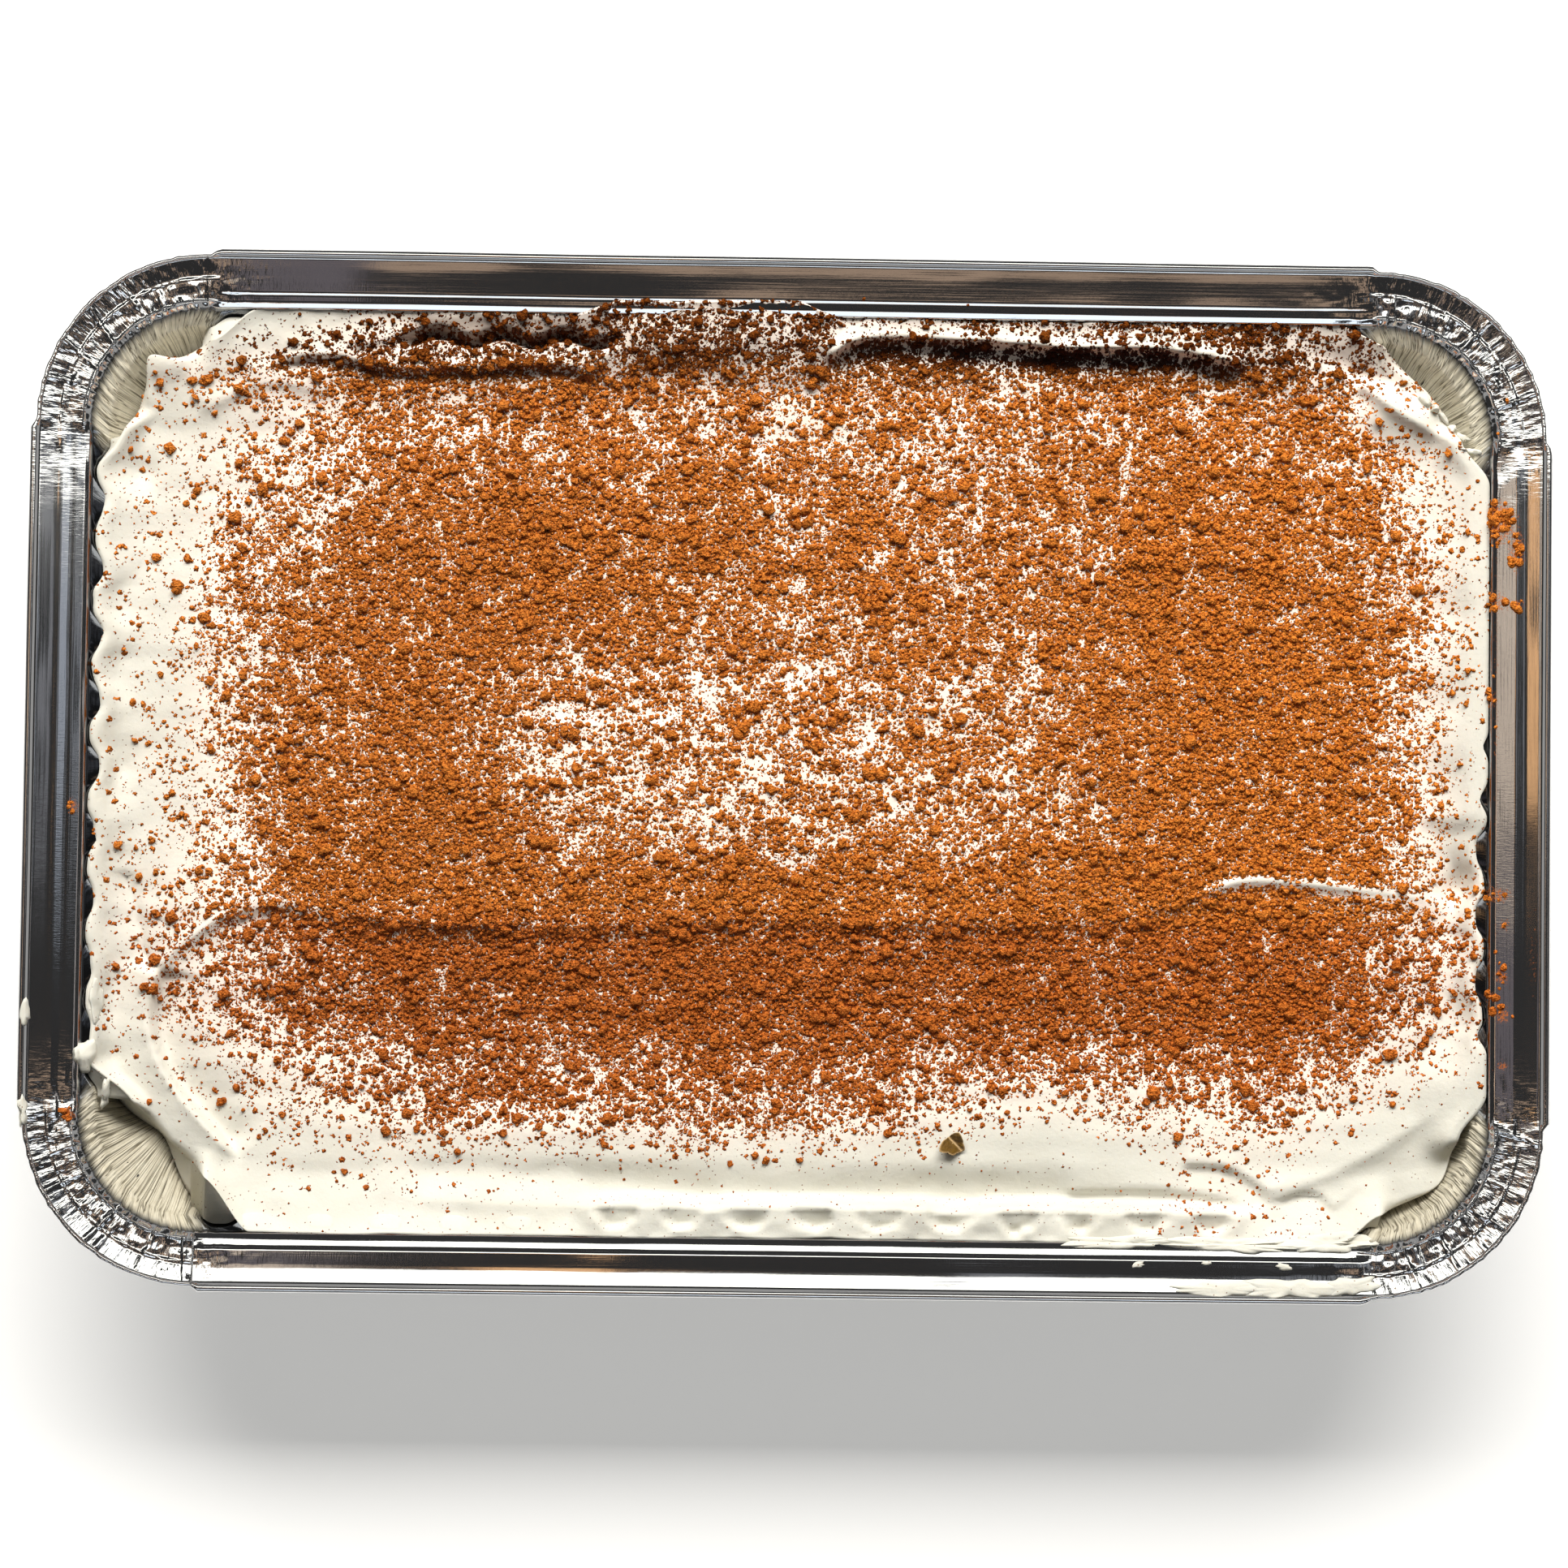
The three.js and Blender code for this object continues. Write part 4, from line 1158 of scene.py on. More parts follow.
class CreamGrid:
    """The grid of the cream's top, denser where it has crests and folds."""

    COLUMNS = 344
    ROWS = 244
    CLOSE_ROWS = ((-30.0, 7.0, 0.9), (-88.0, 5.5, 1.2), (87.5, 6.0, 1.6))

    def __init__(self):
        inset = cream_inset(CREAM_EDGE_Z)
        half_x, half_y = HALF_X - inset, HALF_Y - inset
        fine = np.linspace(-half_y, half_y, 4000)
        crowd = np.ones(fine.shape)
        for middle, width, extra in self.CLOSE_ROWS:
            crowd += extra * np.exp(-(((fine - middle) / width) ** 2))
        run = np.cumsum(crowd)
        v = np.interp(np.linspace(run[0], run[-1], self.ROWS), run, fine) / half_y
        self.u, self.v = np.meshgrid(np.linspace(-1, 1, self.COLUMNS), v)
        x, y = rounded_place(self.u, self.v, half_x, half_y, CORNER_CUT)
        # rows run along the long crest, so that its edge is clean
        crest = np.array(CRESTS["long crest"][-1])
        line = np.interp(x, crest[:, 0], crest[:, 1])
        y = y + (line + 29) * np.exp(-(((y + 29) / 15) ** 2)) * smooth((half_x - np.abs(x)) / 12)
        from_side = (1 - np.abs(self.u)) * half_x
        from_long = (1 - np.abs(self.v)) * half_y
        edge = Edge(x, y, half_x, half_y, from_side, from_long)
        x = x + np.sign(x) * edge.side_out * smooth(1 - from_side / 9)
        y = y + np.sign(y) * edge.long_out * smooth(1 - from_long / 9)
        for at_x, at_y, move_x, move_y, reach in PULLS:
            share = np.exp(-((x - at_x) ** 2 + (y - at_y) ** 2) / reach**2)
            x, y = x + move_x * share, y + move_y * share
        self.x, self.y = x, y
        self.z = edge.meet(cream_height(x, y, np.minimum(from_side, from_long)), x, y)

    def points(self):
        return np.stack([self.x, self.y, self.z], axis=2).reshape(-1, 3)

    def border(self):
        """Grid numbers round the outline, anticlockwise from the front left."""
        rows, columns = self.x.shape
        at = np.arange(rows * columns).reshape(rows, columns)
        return np.concatenate([at[0, :-1], at[:-1, -1], at[-1, :0:-1], at[:0:-1, 0]])


def wall_outline(rim, u, v, z, out, fill):
    """Places just inside the tray's wall at a height, one for each place of the cream's outline.
    A share out of 1 lies against the wall, and 0 under the outline itself."""
    inset = cream_inset(z)
    x, y = rim[:, 0], rim[:, 1]
    straight = np.array(WALL_STRAIGHT)
    beyond_x, beyond_y = np.abs(x) - straight[0], np.abs(y) - straight[1]
    reach_x, reach_y = HALF_X - inset - straight[0], HALF_Y - inset - straight[1]
    flutes = fill * FLUTE_DEPTH
    side_x = straight[0] + reach_x + flutes * flute_share(y, straight[1])
    long_y = straight[1] + reach_y + flutes * flute_share(x, straight[0])
    # corners, number by number round from the front right
    theta = np.linspace(0, math.pi / 2, 91)
    own_angle = np.arctan2(np.maximum(beyond_y, 0), np.maximum(beyond_x, 0))
    number = np.where(y < 0, np.where(x < 0, 3, 0), np.where(x < 0, 2, 1))
    corner_x, corner_y = np.zeros(len(x)), np.zeros(len(x))
    for corner in range(4):
        lean = corner_lean(np.full(theta.shape, z), np.full(theta.shape, corner))
        drawn = 1 - lean * np.sin(2 * theta)
        px, py = reach_x * drawn * np.cos(theta), reach_y * drawn * np.sin(theta)
        angle = np.arctan2(py, px)
        mine = number == corner
        corner_x[mine] = straight[0] + np.interp(own_angle[mine], angle, px)
        corner_y[mine] = straight[1] + np.interp(own_angle[mine], angle, py)
    on_side = (np.abs(u) > 0.999) & (beyond_y <= 0)
    on_long = (np.abs(v) > 0.999) & (beyond_x <= 0)
    far_x = np.where(on_side, side_x, np.where(on_long, np.abs(x), corner_x))
    far_y = np.where(on_long, long_y, np.where(on_side, np.abs(y), corner_y))
    far = np.column_stack([np.sign(x) * far_x, np.sign(y) * far_y])
    share = np.where(on_side | on_long, 1.0, out)[:, None]
    return rim[:, :2] + (far - rim[:, :2]) * share


def make_cream(settings):
    grid = CreamGrid()
    points = grid.points()
    faces = grid_faces(*grid.x.shape, closed=False)
    border = grid.border()
    u, v = grid.u.ravel()[border], grid.v.ravel()[border]
    rim = points[border]

    # the lip is a little thick, and is tucked in below the shelf
    below = rim - np.array([0, 0, 0.4])
    tucked_z = np.minimum(rim[:, 2] - 0.8, SHELF_Z - 0.4)
    tucked = np.column_stack([wall_outline(rim, u, v, SHELF_Z - 0.4, 0.0, 0.9), tucked_z])
    rings = [below, tucked]
    for z, out, fill, _ in CREAM_RINGS:
        rings.append(np.column_stack([wall_outline(rim, u, v, z, out, fill), np.full(len(rim), z)]))
    foot = rings[-1] * np.array([0.985, 0.98, 1.0])
    foot[:, 2] = FOOT_Z
    rings.append(foot)
    start = len(points)
    points = np.vstack([points, *rings, [[0, 0, FOOT_Z]]])
    count = len(border)
    upper = border
    for r in range(len(rings)):
        lower = start + r * count + np.arange(count)
        for c in range(count):
            d = (c + 1) % count
            faces.append((lower[c], lower[d], upper[d], upper[c]))
        upper = lower
    hub = len(points) - 1
    for c in range(count):
        faces.append((hub, upper[(c + 1) % count], upper[c]))
    faces = [tuple(int(i) for i in face) for face in faces]
    made = mesh_object("whipped_cream", points, faces, cream_material(settings))
    cover = cocoa_cover(points[:, 0], points[:, 1])
    cover[start:] *= 0.3
    soaked_and_darkened = np.zeros(len(points))
    # near the back hollow its top is darkened towards brown, from just inside the rim to about 19
    # mm in
    from_back = HALF_Y - points[:start, 1]
    darkened_band = stretch_share(points[:start, 0], BACK_HOLLOW, 8.0) * smooth((19.5 - from_back) / 2.0)
    soaked_and_darkened[:start] = 0.55 * darkened_band * smooth((from_back - 12.6) / 1.2)
    for number, soak in enumerate([0.0, 0.0, *(values[3] for values in CREAM_RINGS), 1.0]):
        soaked_and_darkened[start + number * count : start + (number + 1) * count] = soak
    soaked_and_darkened[-1] = 1.0
    set_attribute(made.data, "cover", cover)
    amount = cocoa_amount(points[:, 0], points[:, 1], cover)
    set_attribute(made.data, "powder", 1 - np.exp(-0.5 * amount))
    set_attribute(made.data, "soaked_and_darkened", soaked_and_darkened)
    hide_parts("tiramisu_cream")
    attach(made, "root")
    return made


# Cocoa


# The lumps that are scattered, at a radius of one
BALLS = {
    "fine": ("GeometryNodeMeshIcoSphere", {"Radius": 1.0, "Subdivisions": 2}),
    "coarse": ("GeometryNodeMeshIcoSphere", {"Radius": 1.0, "Subdivisions": 1}),
    "round": ("GeometryNodeMeshUVSphere", {"Radius": 1.0, "Segments": 7, "Rings": 4}),
    "speck": ("GeometryNodeMeshUVSphere", {"Radius": 1.0, "Segments": 4, "Rings": 2}),
}
# What a scattering is given, with the kind of each value
SCATTER_INPUTS = {
    "Surface": "Geometry",
    "Count": "Float",
    "Least radius": "Float",
    "Most radius": "Float",
    "Roughness": "Float",
    "Lift": "Float",
    "Seed": "Int",
    "Material": "Material",
}
# Small lumps are the most common: an even draw from 0 to 1 is raised to this power
SMALL_ARE_COMMON = 2.2
# How far a lump's middle stands above the surface, as a share of its radius
LUMP_LIFT = 0.22


def scatter_tree(name, ball):
    """Geometry nodes that lay lumps on a surface by a density, each roughened in its own way."""
    tree = bpy.data.node_groups.new(name, "GeometryNodeTree")
    sockets = [(socket, "INPUT", kind) for socket, kind in SCATTER_INPUTS.items()]
    for socket, way, kind in (*sockets, ("Lumps", "OUTPUT", "Geometry")):
        tree.interface.new_socket(name=socket, in_out=way, socket_type="NodeSocket" + kind)
    given = add_node(tree, "NodeGroupInput").outputs
    share = add_node(tree, "GeometryNodeInputNamedAttribute", {"Name": name}, data_type="FLOAT")
    spread = {
        "Mesh": given["Surface"],
        "Density": maths(tree, "MULTIPLY", share.outputs[0], given["Count"]),
        "Seed": given["Seed"],
    }
    spread = add_node(
        tree, "GeometryNodeDistributePointsOnFaces", spread, distribute_method="RANDOM"
    )
    draw = add_node(tree, "FunctionNodeRandomValue", {"Seed": given["Seed"]}, data_type="FLOAT")
    drawn = maths(tree, "POWER", draw.outputs[1], SMALL_ARE_COMMON)
    radius = ramp(tree, drawn, least=given["Least radius"], most=given["Most radius"])
    rise = maths(tree, "MULTIPLY", radius, given["Lift"])
    offset = add_node(tree, "ShaderNodeCombineXYZ", {"Z": rise}).outputs[0]
    raised = {"Geometry": spread.outputs["Points"], "Offset": offset}
    raised = add_node(tree, "GeometryNodeSetPosition", raised).outputs[0]
    turn, stretch = (
        add_node(
            tree, "FunctionNodeRandomValue", {0: least, 1: most}, data_type="FLOAT_VECTOR"
        ).outputs[0]
        for least, most in (
            ((-0.4, -0.4, 0.0), (0.4, 0.4, math.tau)),
            ((0.8, 0.8, 0.5), (1.25, 1.25, 0.8)),
        )
    )
    lumps = {
        "Points": raised,
        "Instance": add_node(tree, *BALLS[ball]).outputs[0],
        "Rotation": turn,
        "Scale": scaled(tree, stretch, radius),
    }
    lumps = add_node(tree, "GeometryNodeInstanceOnPoints", lumps).outputs[0]
    real = add_node(tree, "GeometryNodeRealizeInstances", {0: lumps}).outputs[0]
    # knobs half a millimetre across
    knobs = add_node(tree, "ShaderNodeTexNoise", {"Scale": 1.3 / MM, "Detail": 1.0}).outputs[0]
    tall = maths(tree, "MULTIPLY", maths(tree, "SUBTRACT", knobs, 0.5), given["Roughness"])
    push = scaled(tree, add_node(tree, "GeometryNodeInputNormal").outputs[0], tall)
    rough = {"Geometry": real, "Offset": push}
    rough = add_node(tree, "GeometryNodeSetPosition", rough).outputs[0]
    soft = add_node(tree, "GeometryNodeSetShadeSmooth", {0: rough}).outputs[0]
    coloured = {"Geometry": soft, "Material": given["Material"]}
    coloured = add_node(tree, "GeometryNodeSetMaterial", coloured).outputs[0]
    add_node(tree, "NodeGroupOutput", {0: coloured})
    return tree


def face_areas(mesh):
    areas = np.empty(len(mesh.polygons))
    mesh.polygons.foreach_get("area", areas)
    return areas


def cream_surface():
    """A copy of the cream's top, which carries how thickly each kind of cocoa lies."""
    surface = bpy.data.meshes.new("cocoa_surface")
    grid = CreamGrid()
    points = grid.points()
    surface.from_pydata((points * MM).tolist(), [], grid_faces(*grid.x.shape, closed=False))
    x, y = points[:, 0], points[:, 1]
    set_shares(surface, density_fields(x, y, cocoa_cover(x, y)))
    return surface


def rim_surface():
    """A copy of the tray, which carries how thickly spilled cocoa lies."""
    surface = bpy.data.objects["foil_tray_skin"].data.copy()
    spill = np.empty(len(surface.vertices), np.float32)
    surface.attributes["spill"].data.foreach_get("value", spill)
    set_shares(surface, {"spilled_crumbs": spill**3})
    return surface


def set_shares(surface, fields):
    """Sets each field as an attribute, scaled so that it adds up to 1 over the surface."""
    areas = face_areas(surface)
    corners = np.empty(len(surface.loops), int)
    surface.loops.foreach_get("vertex_index", corners)
    starts = np.empty(len(surface.polygons), int)
    surface.polygons.foreach_get("loop_start", starts)
    for name, field in fields.items():
        mean = np.add.reduceat(field[corners], starts) / np.diff(starts, append=len(corners))
        set_attribute(surface, name, field / (mean * areas).sum())


def scatter(surface, name, kind, settings, material, seed):
    """Lays one kind of cocoa over a surface."""
    helper = bpy.data.objects.new(name + "_field", surface)
    bpy.context.scene.collection.objects.link(helper)
    tree = scatter_tree(name, kind["ball"])
    modifier = helper.modifiers.new("scatter", "NODES")
    modifier.node_group = tree
    values = {
        "Count": settings.cocoa_amount * kind["count"],
        "Least radius": kind["least"] * MM,
        "Most radius": kind["most"] * MM,
        "Roughness": kind["rough"] * MM,
        "Lift": LUMP_LIFT,
        "Seed": seed,
        "Material": material,
    }
    for item in tree.interface.items_tree:
        if item.name in values:
            modifier[item.identifier] = values[item.name]
    graph = bpy.context.evaluated_depsgraph_get()
    mesh = bpy.data.meshes.new_from_object(helper.evaluated_get(graph), depsgraph=graph)
    bpy.data.objects.remove(helper)
    mesh.name = name
    made = bpy.data.objects.new(name, mesh)
    bpy.context.scene.collection.objects.link(made)
    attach(made, "root")


def make_cocoa(settings):
    material = cocoa_material(settings)
    surface = cream_surface()
    for number, (name, kind) in enumerate(COCOA_KINDS.items()):
        scatter(surface, name, kind, settings, material, settings.cocoa_seed + number)
    bpy.data.meshes.remove(surface)
    surface = rim_surface()
    scatter(surface, "spilled_crumbs", SPILLED, settings, material, settings.cocoa_seed + 20)
    bpy.data.meshes.remove(surface)


# Smears of cream on the foil: middle x and y, half sizes, turn in degrees, thickness
SMEARS = (
    (-156.0, -50.9, 1.0, 2.6, 0, 0.9),
    (-156.2, -71.1, 1.1, 3.2, 0, 1.0),
    (-144.2, -59.4, 2.2, 3.4, 0, 1.6),
    (-142.3, -48.0, 1.2, 4.5, 0, 0.8),
    (-140.1, -67.2, 0.95, 3.5, -8, 1.1),
    (132.0, 80.4, 1.7, 1.0, -40, 1.5),
    (134.2, 78.8, 1.2, 0.9, 25, 1.9),
    (136.2, 76.9, 1.6, 0.9, -55, 1.7),
    (138.0, 74.8, 1.1, 1.0, 10, 1.5),
    (139.9, 72.8, 1.6, 0.8, -30, 1.1),
    (141.5, 69.6, 2.2, 0.7, -12, 0.9),
    (70.0, -95.2, 12.0, 1.3, 2, 0.8),
    (92.0, -95.6, 13.0, 1.5, -2, 1.0),
    (112.0, -95.0, 11.0, 2.0, 3, 1.0),
    (90.0, -104.4, 9.0, 1.5, 1, 0.6),
    (104.0, -104.2, 10.0, 2.0, -1, 0.7),
    (117.0, -103.6, 5.5, 1.8, 8, 0.6),
    (73.0, -99.7, 1.3, 0.6, 10, 0.4),
    (87.0, -99.2, 1.0, 0.5, 0, 0.4),
    (103.1, -99.8, 1.6, 0.7, -12, 0.5),
)
SMEAR_RINGS = 6
# How far below its highest part a smear may hang over an edge
SMEAR_DROOP = 2.0


def ground(names):
    """A function for the height of whatever lies highest at a place, among the named pieces."""
    trees = []
    for name in names:
        mesh = bpy.data.objects[name].data
        places = np.empty(len(mesh.vertices) * 3)
        mesh.vertices.foreach_get("co", places)
        polygons = [tuple(polygon.vertices) for polygon in mesh.polygons]
        trees.append(BVHTree.FromPolygons((places.reshape(-1, 3) / MM).tolist(), polygons))

    def height(x, y):
        # looked for twice, since a ray can slip between two faces
        hits = [
            tree.ray_cast(Vector((x + aside, y, 90.0)), Vector((0, 0, -1)))[0]
            for tree in trees
            for aside in (0.0, 0.01)
        ]
        return max((hit.z for hit in hits if hit is not None), default=-math.inf)

    return height


def smear(height, number, middle_x, middle_y, half_x, half_y, turn, thick):
    """A low dome of cream, draped over what it lies on: its points and faces."""
    around = max(18, int(5 * (half_x + half_y)))
    turn = math.radians(turn)
    ragged = Noise(100 + number)
    angle = 2 * math.pi * np.arange(around) / around
    reach = 1 + 0.3 * ragged(3 * np.cos(angle), 3 * np.sin(angle) + 7)
    tops, floors = [], []
    highest = -math.inf
    for r in range(SMEAR_RINGS + 1):
        share = 1 - r / SMEAR_RINGS
        px, py = half_x * share * reach * np.cos(angle), half_y * share * reach * np.sin(angle)
        x = middle_x + px * math.cos(turn) - py * math.sin(turn)
        y = middle_y + px * math.sin(turn) + py * math.cos(turn)
        bulge = thick * (1 - share**2.6) ** 0.6 * (1 + 0.35 * ragged(x / 2, y / 2))
        carried = np.array([height(a, b) for a, b in zip(x, y)])
        # over an edge it droops a little, and doesn't fall to what lies below
        highest = max(highest, carried.max())
        carried = np.maximum(carried, highest - SMEAR_DROOP)
        tops.append(np.stack([x, y, np.minimum(carried + bulge, TOP_Z)], axis=1))
        floors.append(np.stack([x, y, carried - 0.25], axis=1))
    rows = [*reversed(floors), *tops]
    middle_top, middle_floor = tops[-1].mean(axis=0), floors[-1].mean(axis=0)
    rows = rows[1:-1]
    points = np.vstack([*rows, middle_floor[None], middle_top[None]])
    return points, shell_faces(len(rows), around)


def make_smears(settings):
    height = ground(["foil_tray_skin", "whipped_cream"])
    points, faces = [], []
    for number, values in enumerate(SMEARS):
        own, own_faces = smear(height, number, *values)
        first = sum(len(p) for p in points)
        points.append(own)
        faces += [tuple(first + corner for corner in face) for face in own_faces]
    material = bpy.data.materials["whipped mascarpone cream"]
    made = mesh_object("cream_smears", np.vstack(points), faces, material)
    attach(made, "root")


def leaf_material(settings):
    """A flake of dry leaf: olive brown and slightly glossy, its rib and edge paler."""
    material, tree = new_material("dry leaf")
    veins = soft_noise(tree, millimetre_coordinates(tree), 1.4, 2.0)
    colour = mixed(tree, veins, (*settings.leaf_colour, 1.0), "#6E5010")
    colour = mixed(tree, attribute(tree, "pale"), colour, "#C9A878")
    normal = bumped(tree, veins, 1.0, 0.4)
    leaf = {"Base Color": colour, "Roughness": 0.5, "Normal": normal}
    finish_material(tree, principled(tree, leaf))
    return material


LEAF_PLACE = (35.0, -75.6)
# The flake's outline: how far its edge lies from the middle, turning left from the right
LEAF_REACH = (2.2, 2.2, 2.6, 2.0, 1.5, 1.7, 2.4, 3.3, 2.2, 2.5, 2.3, 2.9)


def make_leaf(settings):
    """The flake: a ragged fan, folded along its rib from the upper left to the lower right, its
    edges standing up."""
    height = ground(["whipped_cream"])
    around, rings = 72, 12
    angle = 2 * math.pi * np.arange(around) / around
    reach = np.interp(angle, np.linspace(0, 2 * math.pi, 13), LEAF_REACH + LEAF_REACH[:1])
    carried = height(*LEAF_PLACE)
    rows, pale = [], []
    for share in np.linspace(1, 0.08, rings):
        x, y = share * reach * np.cos(angle), share * reach * np.sin(angle)
        from_fold = (x + y) / math.sqrt(2) - 0.3
        lift = 0.5 + 0.55 * np.abs(from_fold) + 0.3 * share**2 * Noise(91)(x / 1.1, y / 1.1)
        rows.append(np.stack([x + LEAF_PLACE[0], y + LEAF_PLACE[1], carried + lift], axis=1))
        rib = np.exp(-((from_fold / 0.2) ** 2))
        pale.append(np.maximum(rib, smooth((share - 0.9) / 0.05)))
    thin = np.array([0, 0, 0.12])
    rows = [*(row - thin for row in reversed(rows)), *rows]
    pale = np.concatenate([*reversed(pale), *pale, [1.0, 1.0]])
    middle = np.array([[*LEAF_PLACE, carried + 0.65]])
    points = np.vstack([*rows, middle - thin, middle])
    faces = shell_faces(len(rows), around)
    made = mesh_object("leaf_flake", points, faces, leaf_material(settings))
    set_attribute(made.data, "pale", pale)
    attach(made, "root")


# Stage


# The floor's reach in millimetres, and heights and sizes of the cards in metres
FLOOR_REACH = 6000.0
CARD_HEIGHT = 1.3
WALL_CARD_SIZE = (2.8, 0.6)
WALL_CARD_HEIGHT = 0.42
WALL_CARD_BRIGHTNESS = 0.4
WALL_CARDS = (("left", -1.6, 0), ("right", 1.6, 0), ("front", 0, -1.7), ("back", 0, 1.7))
SENSOR_WIDTH = 36.0
# Cards that the foil mirrors: name, middle x and y and size in metres, brightness, colour
MIRROR_CARDS = (
    ("ceiling card", 0.0, 0.46, 1.7, 0.42, 2.2, "#FFFEF6"),
    ("left flange card", 0.149, 0.14, 0.08, 0.24, 0.21, "#F4F6FF"),
    ("left step card", 0.317, 0.16, 0.07, 0.28, 0.25, "#EEF4FF"),
    ("left line card", 0.53, 0.16, 0.16, 0.28, 0.42, "#E6F0FF"),
    ("right flange card", -0.104, 0.15, 0.08, 0.22, 1.0, "#FFC488"),
    ("right step card", -0.269, 0.16, 0.1, 0.28, 0.68, "#FFE9D2"),
    ("right low card", -0.269, -0.16, 0.1, 0.34, 0.13, "#F0E0EC"),
    ("right line card", -0.475, 0.16, 0.16, 0.28, 0.5, "#FFEEDC"),
    ("back flange card", 0.0, -0.2025, 0.7, 0.09, 0.4, "#FFD8B6"),
    ("back line card", 0.0, -1.1, 1.6, 0.5, 1.6, "#E8F4FF"),
    ("left peach card", 0.777, 0.1, 0.14, 0.8, 0.5, "#EFE6E0"),
    ("right peach card", -0.71, 0.1, 0.14, 0.8, 0.9, "#FFD9B8"),
    ("back peach card", 0.0, -0.837, 1.2, 0.14, 0.9, "#FFD9B8"),
)


def area_light(name, place, target, size, power, colour="#FFFFFF", mirrored=False):
    """A soft light that only lights, or a card that is only seen mirrored in the foil."""
    lamp = bpy.data.lights.new(name, "AREA")
    lamp.shape = "RECTANGLE"
    lamp.size, lamp.size_y = size
    lamp.energy = power
    lamp.color = linear(colour)[:3]
    holder = bpy.data.objects.new(name, lamp)
    bpy.context.scene.collection.objects.link(holder)
    holder.location = place
    holder.rotation_euler = (Vector(target) - Vector(place)).to_track_quat("-Z", "Y").to_euler()
    holder.visible_camera = False
    holder.visible_glossy = mirrored
    holder.visible_diffuse = not mirrored
    return holder


def make_stage(settings):
    scene = bpy.context.scene
    scene.view_settings.view_transform = "Standard"
    world = bpy.data.worlds.new("studio")
    world.use_nodes = True
    background = world.node_tree.nodes["Background"]
    background.inputs["Color"].default_value = linear("#FFFFFF")
    background.inputs["Strength"].default_value = settings.room_light
    scene.world = world

    paper, tree = new_material("matt paper sweep")
    shader = {
        "Base Color": linear("#F4F3F0"),
        "Roughness": 0.9,
        "Emission Color": linear("#F6F6F4"),
        "Emission Strength": 0.4,
    }
    finish_material(tree, principled(tree, shader))
    signs = ((-1, -1), (1, -1), (1, 1), (-1, 1))
    corners = [(x * FLOOR_REACH, y * FLOOR_REACH, 0) for x, y in signs]
    floor = mesh_object("floor", corners, [(0, 1, 2, 3)], paper)

    power = settings.key_power
    centre = (0, 0, 0.03)
    at_window, window_size = (0.0, 1.05, 0.98), (1.9, 0.6)
    lights = [
        area_light("window", at_window, centre, window_size, power, "#FFFDFA"),
        area_light("window seen", at_window, centre, window_size, 5.4, "#FFFDFA", mirrored=True),
        area_light("sky", (0.0, 0.2, 1.7), centre, (1.6, 1.6), power * 0.036),
        area_light("front fill", (0.0, -1.5, 0.6), centre, (1.6, 0.5), power * 0.02),
    ]
    for name, x, y, wide, tall, bright, colour in MIRROR_CARDS:
        card = (x, y, CARD_HEIGHT), (x, y, 0), (wide, tall), bright * math.pi * wide * tall, colour
        lights.append(area_light(name, *card, mirrored=True))
    # pale walls low down all round, which the foil mirrors only where it is seen from the side
    wall_power = WALL_CARD_BRIGHTNESS * math.pi * WALL_CARD_SIZE[0] * WALL_CARD_SIZE[1]
    for name, x, y in WALL_CARDS:
        place, aim = (x, y, WALL_CARD_HEIGHT), (0, 0, WALL_CARD_HEIGHT)
        card = place, aim, WALL_CARD_SIZE, wall_power, "#F4F3F0"
        lights.append(area_light(f"{name} wall", *card, mirrored=True))

    # the camera stands over the tray, leaning a little to the front and the left
    distance = settings.camera_height
    frame_width = PHOTO_PIXELS / PIXELS_PER_MM * MM
    camera = bpy.data.cameras.new("camera")
    camera.sensor_width = SENSOR_WIDTH
    camera.lens = SENSOR_WIDTH * distance / frame_width
    holder = bpy.data.objects.new("camera", camera)
    scene.collection.objects.link(holder)
    lean_front, lean_left = math.radians(CAMERA_LEAN_FRONT), math.radians(CAMERA_LEAN_LEFT)
    target = Vector((CAMERA_AIM[0] * MM, CAMERA_AIM[1] * MM, TOP_Z * MM))
    holder.location = target + distance * Vector(
        (-math.sin(lean_left), -math.sin(lean_front), math.cos(lean_front) * math.cos(lean_left))
    )
    # straight down, then leant back by the same angles, then rolled
    tilt = Euler((lean_front, -lean_left, math.radians(CAMERA_ROLL)), "ZYX")
    holder.rotation_mode = "QUATERNION"
    holder.rotation_quaternion = tilt.to_quaternion()
    scene.camera = holder


# Settings, operators and panel


class TiramisuTray(PropertyGroup):
    flute_depth: FloatProperty(
        name="Flute depth",
        description="How far the wall stands out between two ribs",
        default=FLUTE_DEPTH * MM,
        unit="LENGTH",
    )
    foil_thickness: FloatProperty(
        name="Foil thickness",
        description="Wall of the solid sheet",
        default=0.5 * MM,
        unit="LENGTH",
    )
    foil_colour: FloatVectorProperty(
        name="Foil",
        description="Colour of the bare aluminium",
        default=linear("#DCDCDD")[:3],
        subtype="COLOR",
    )


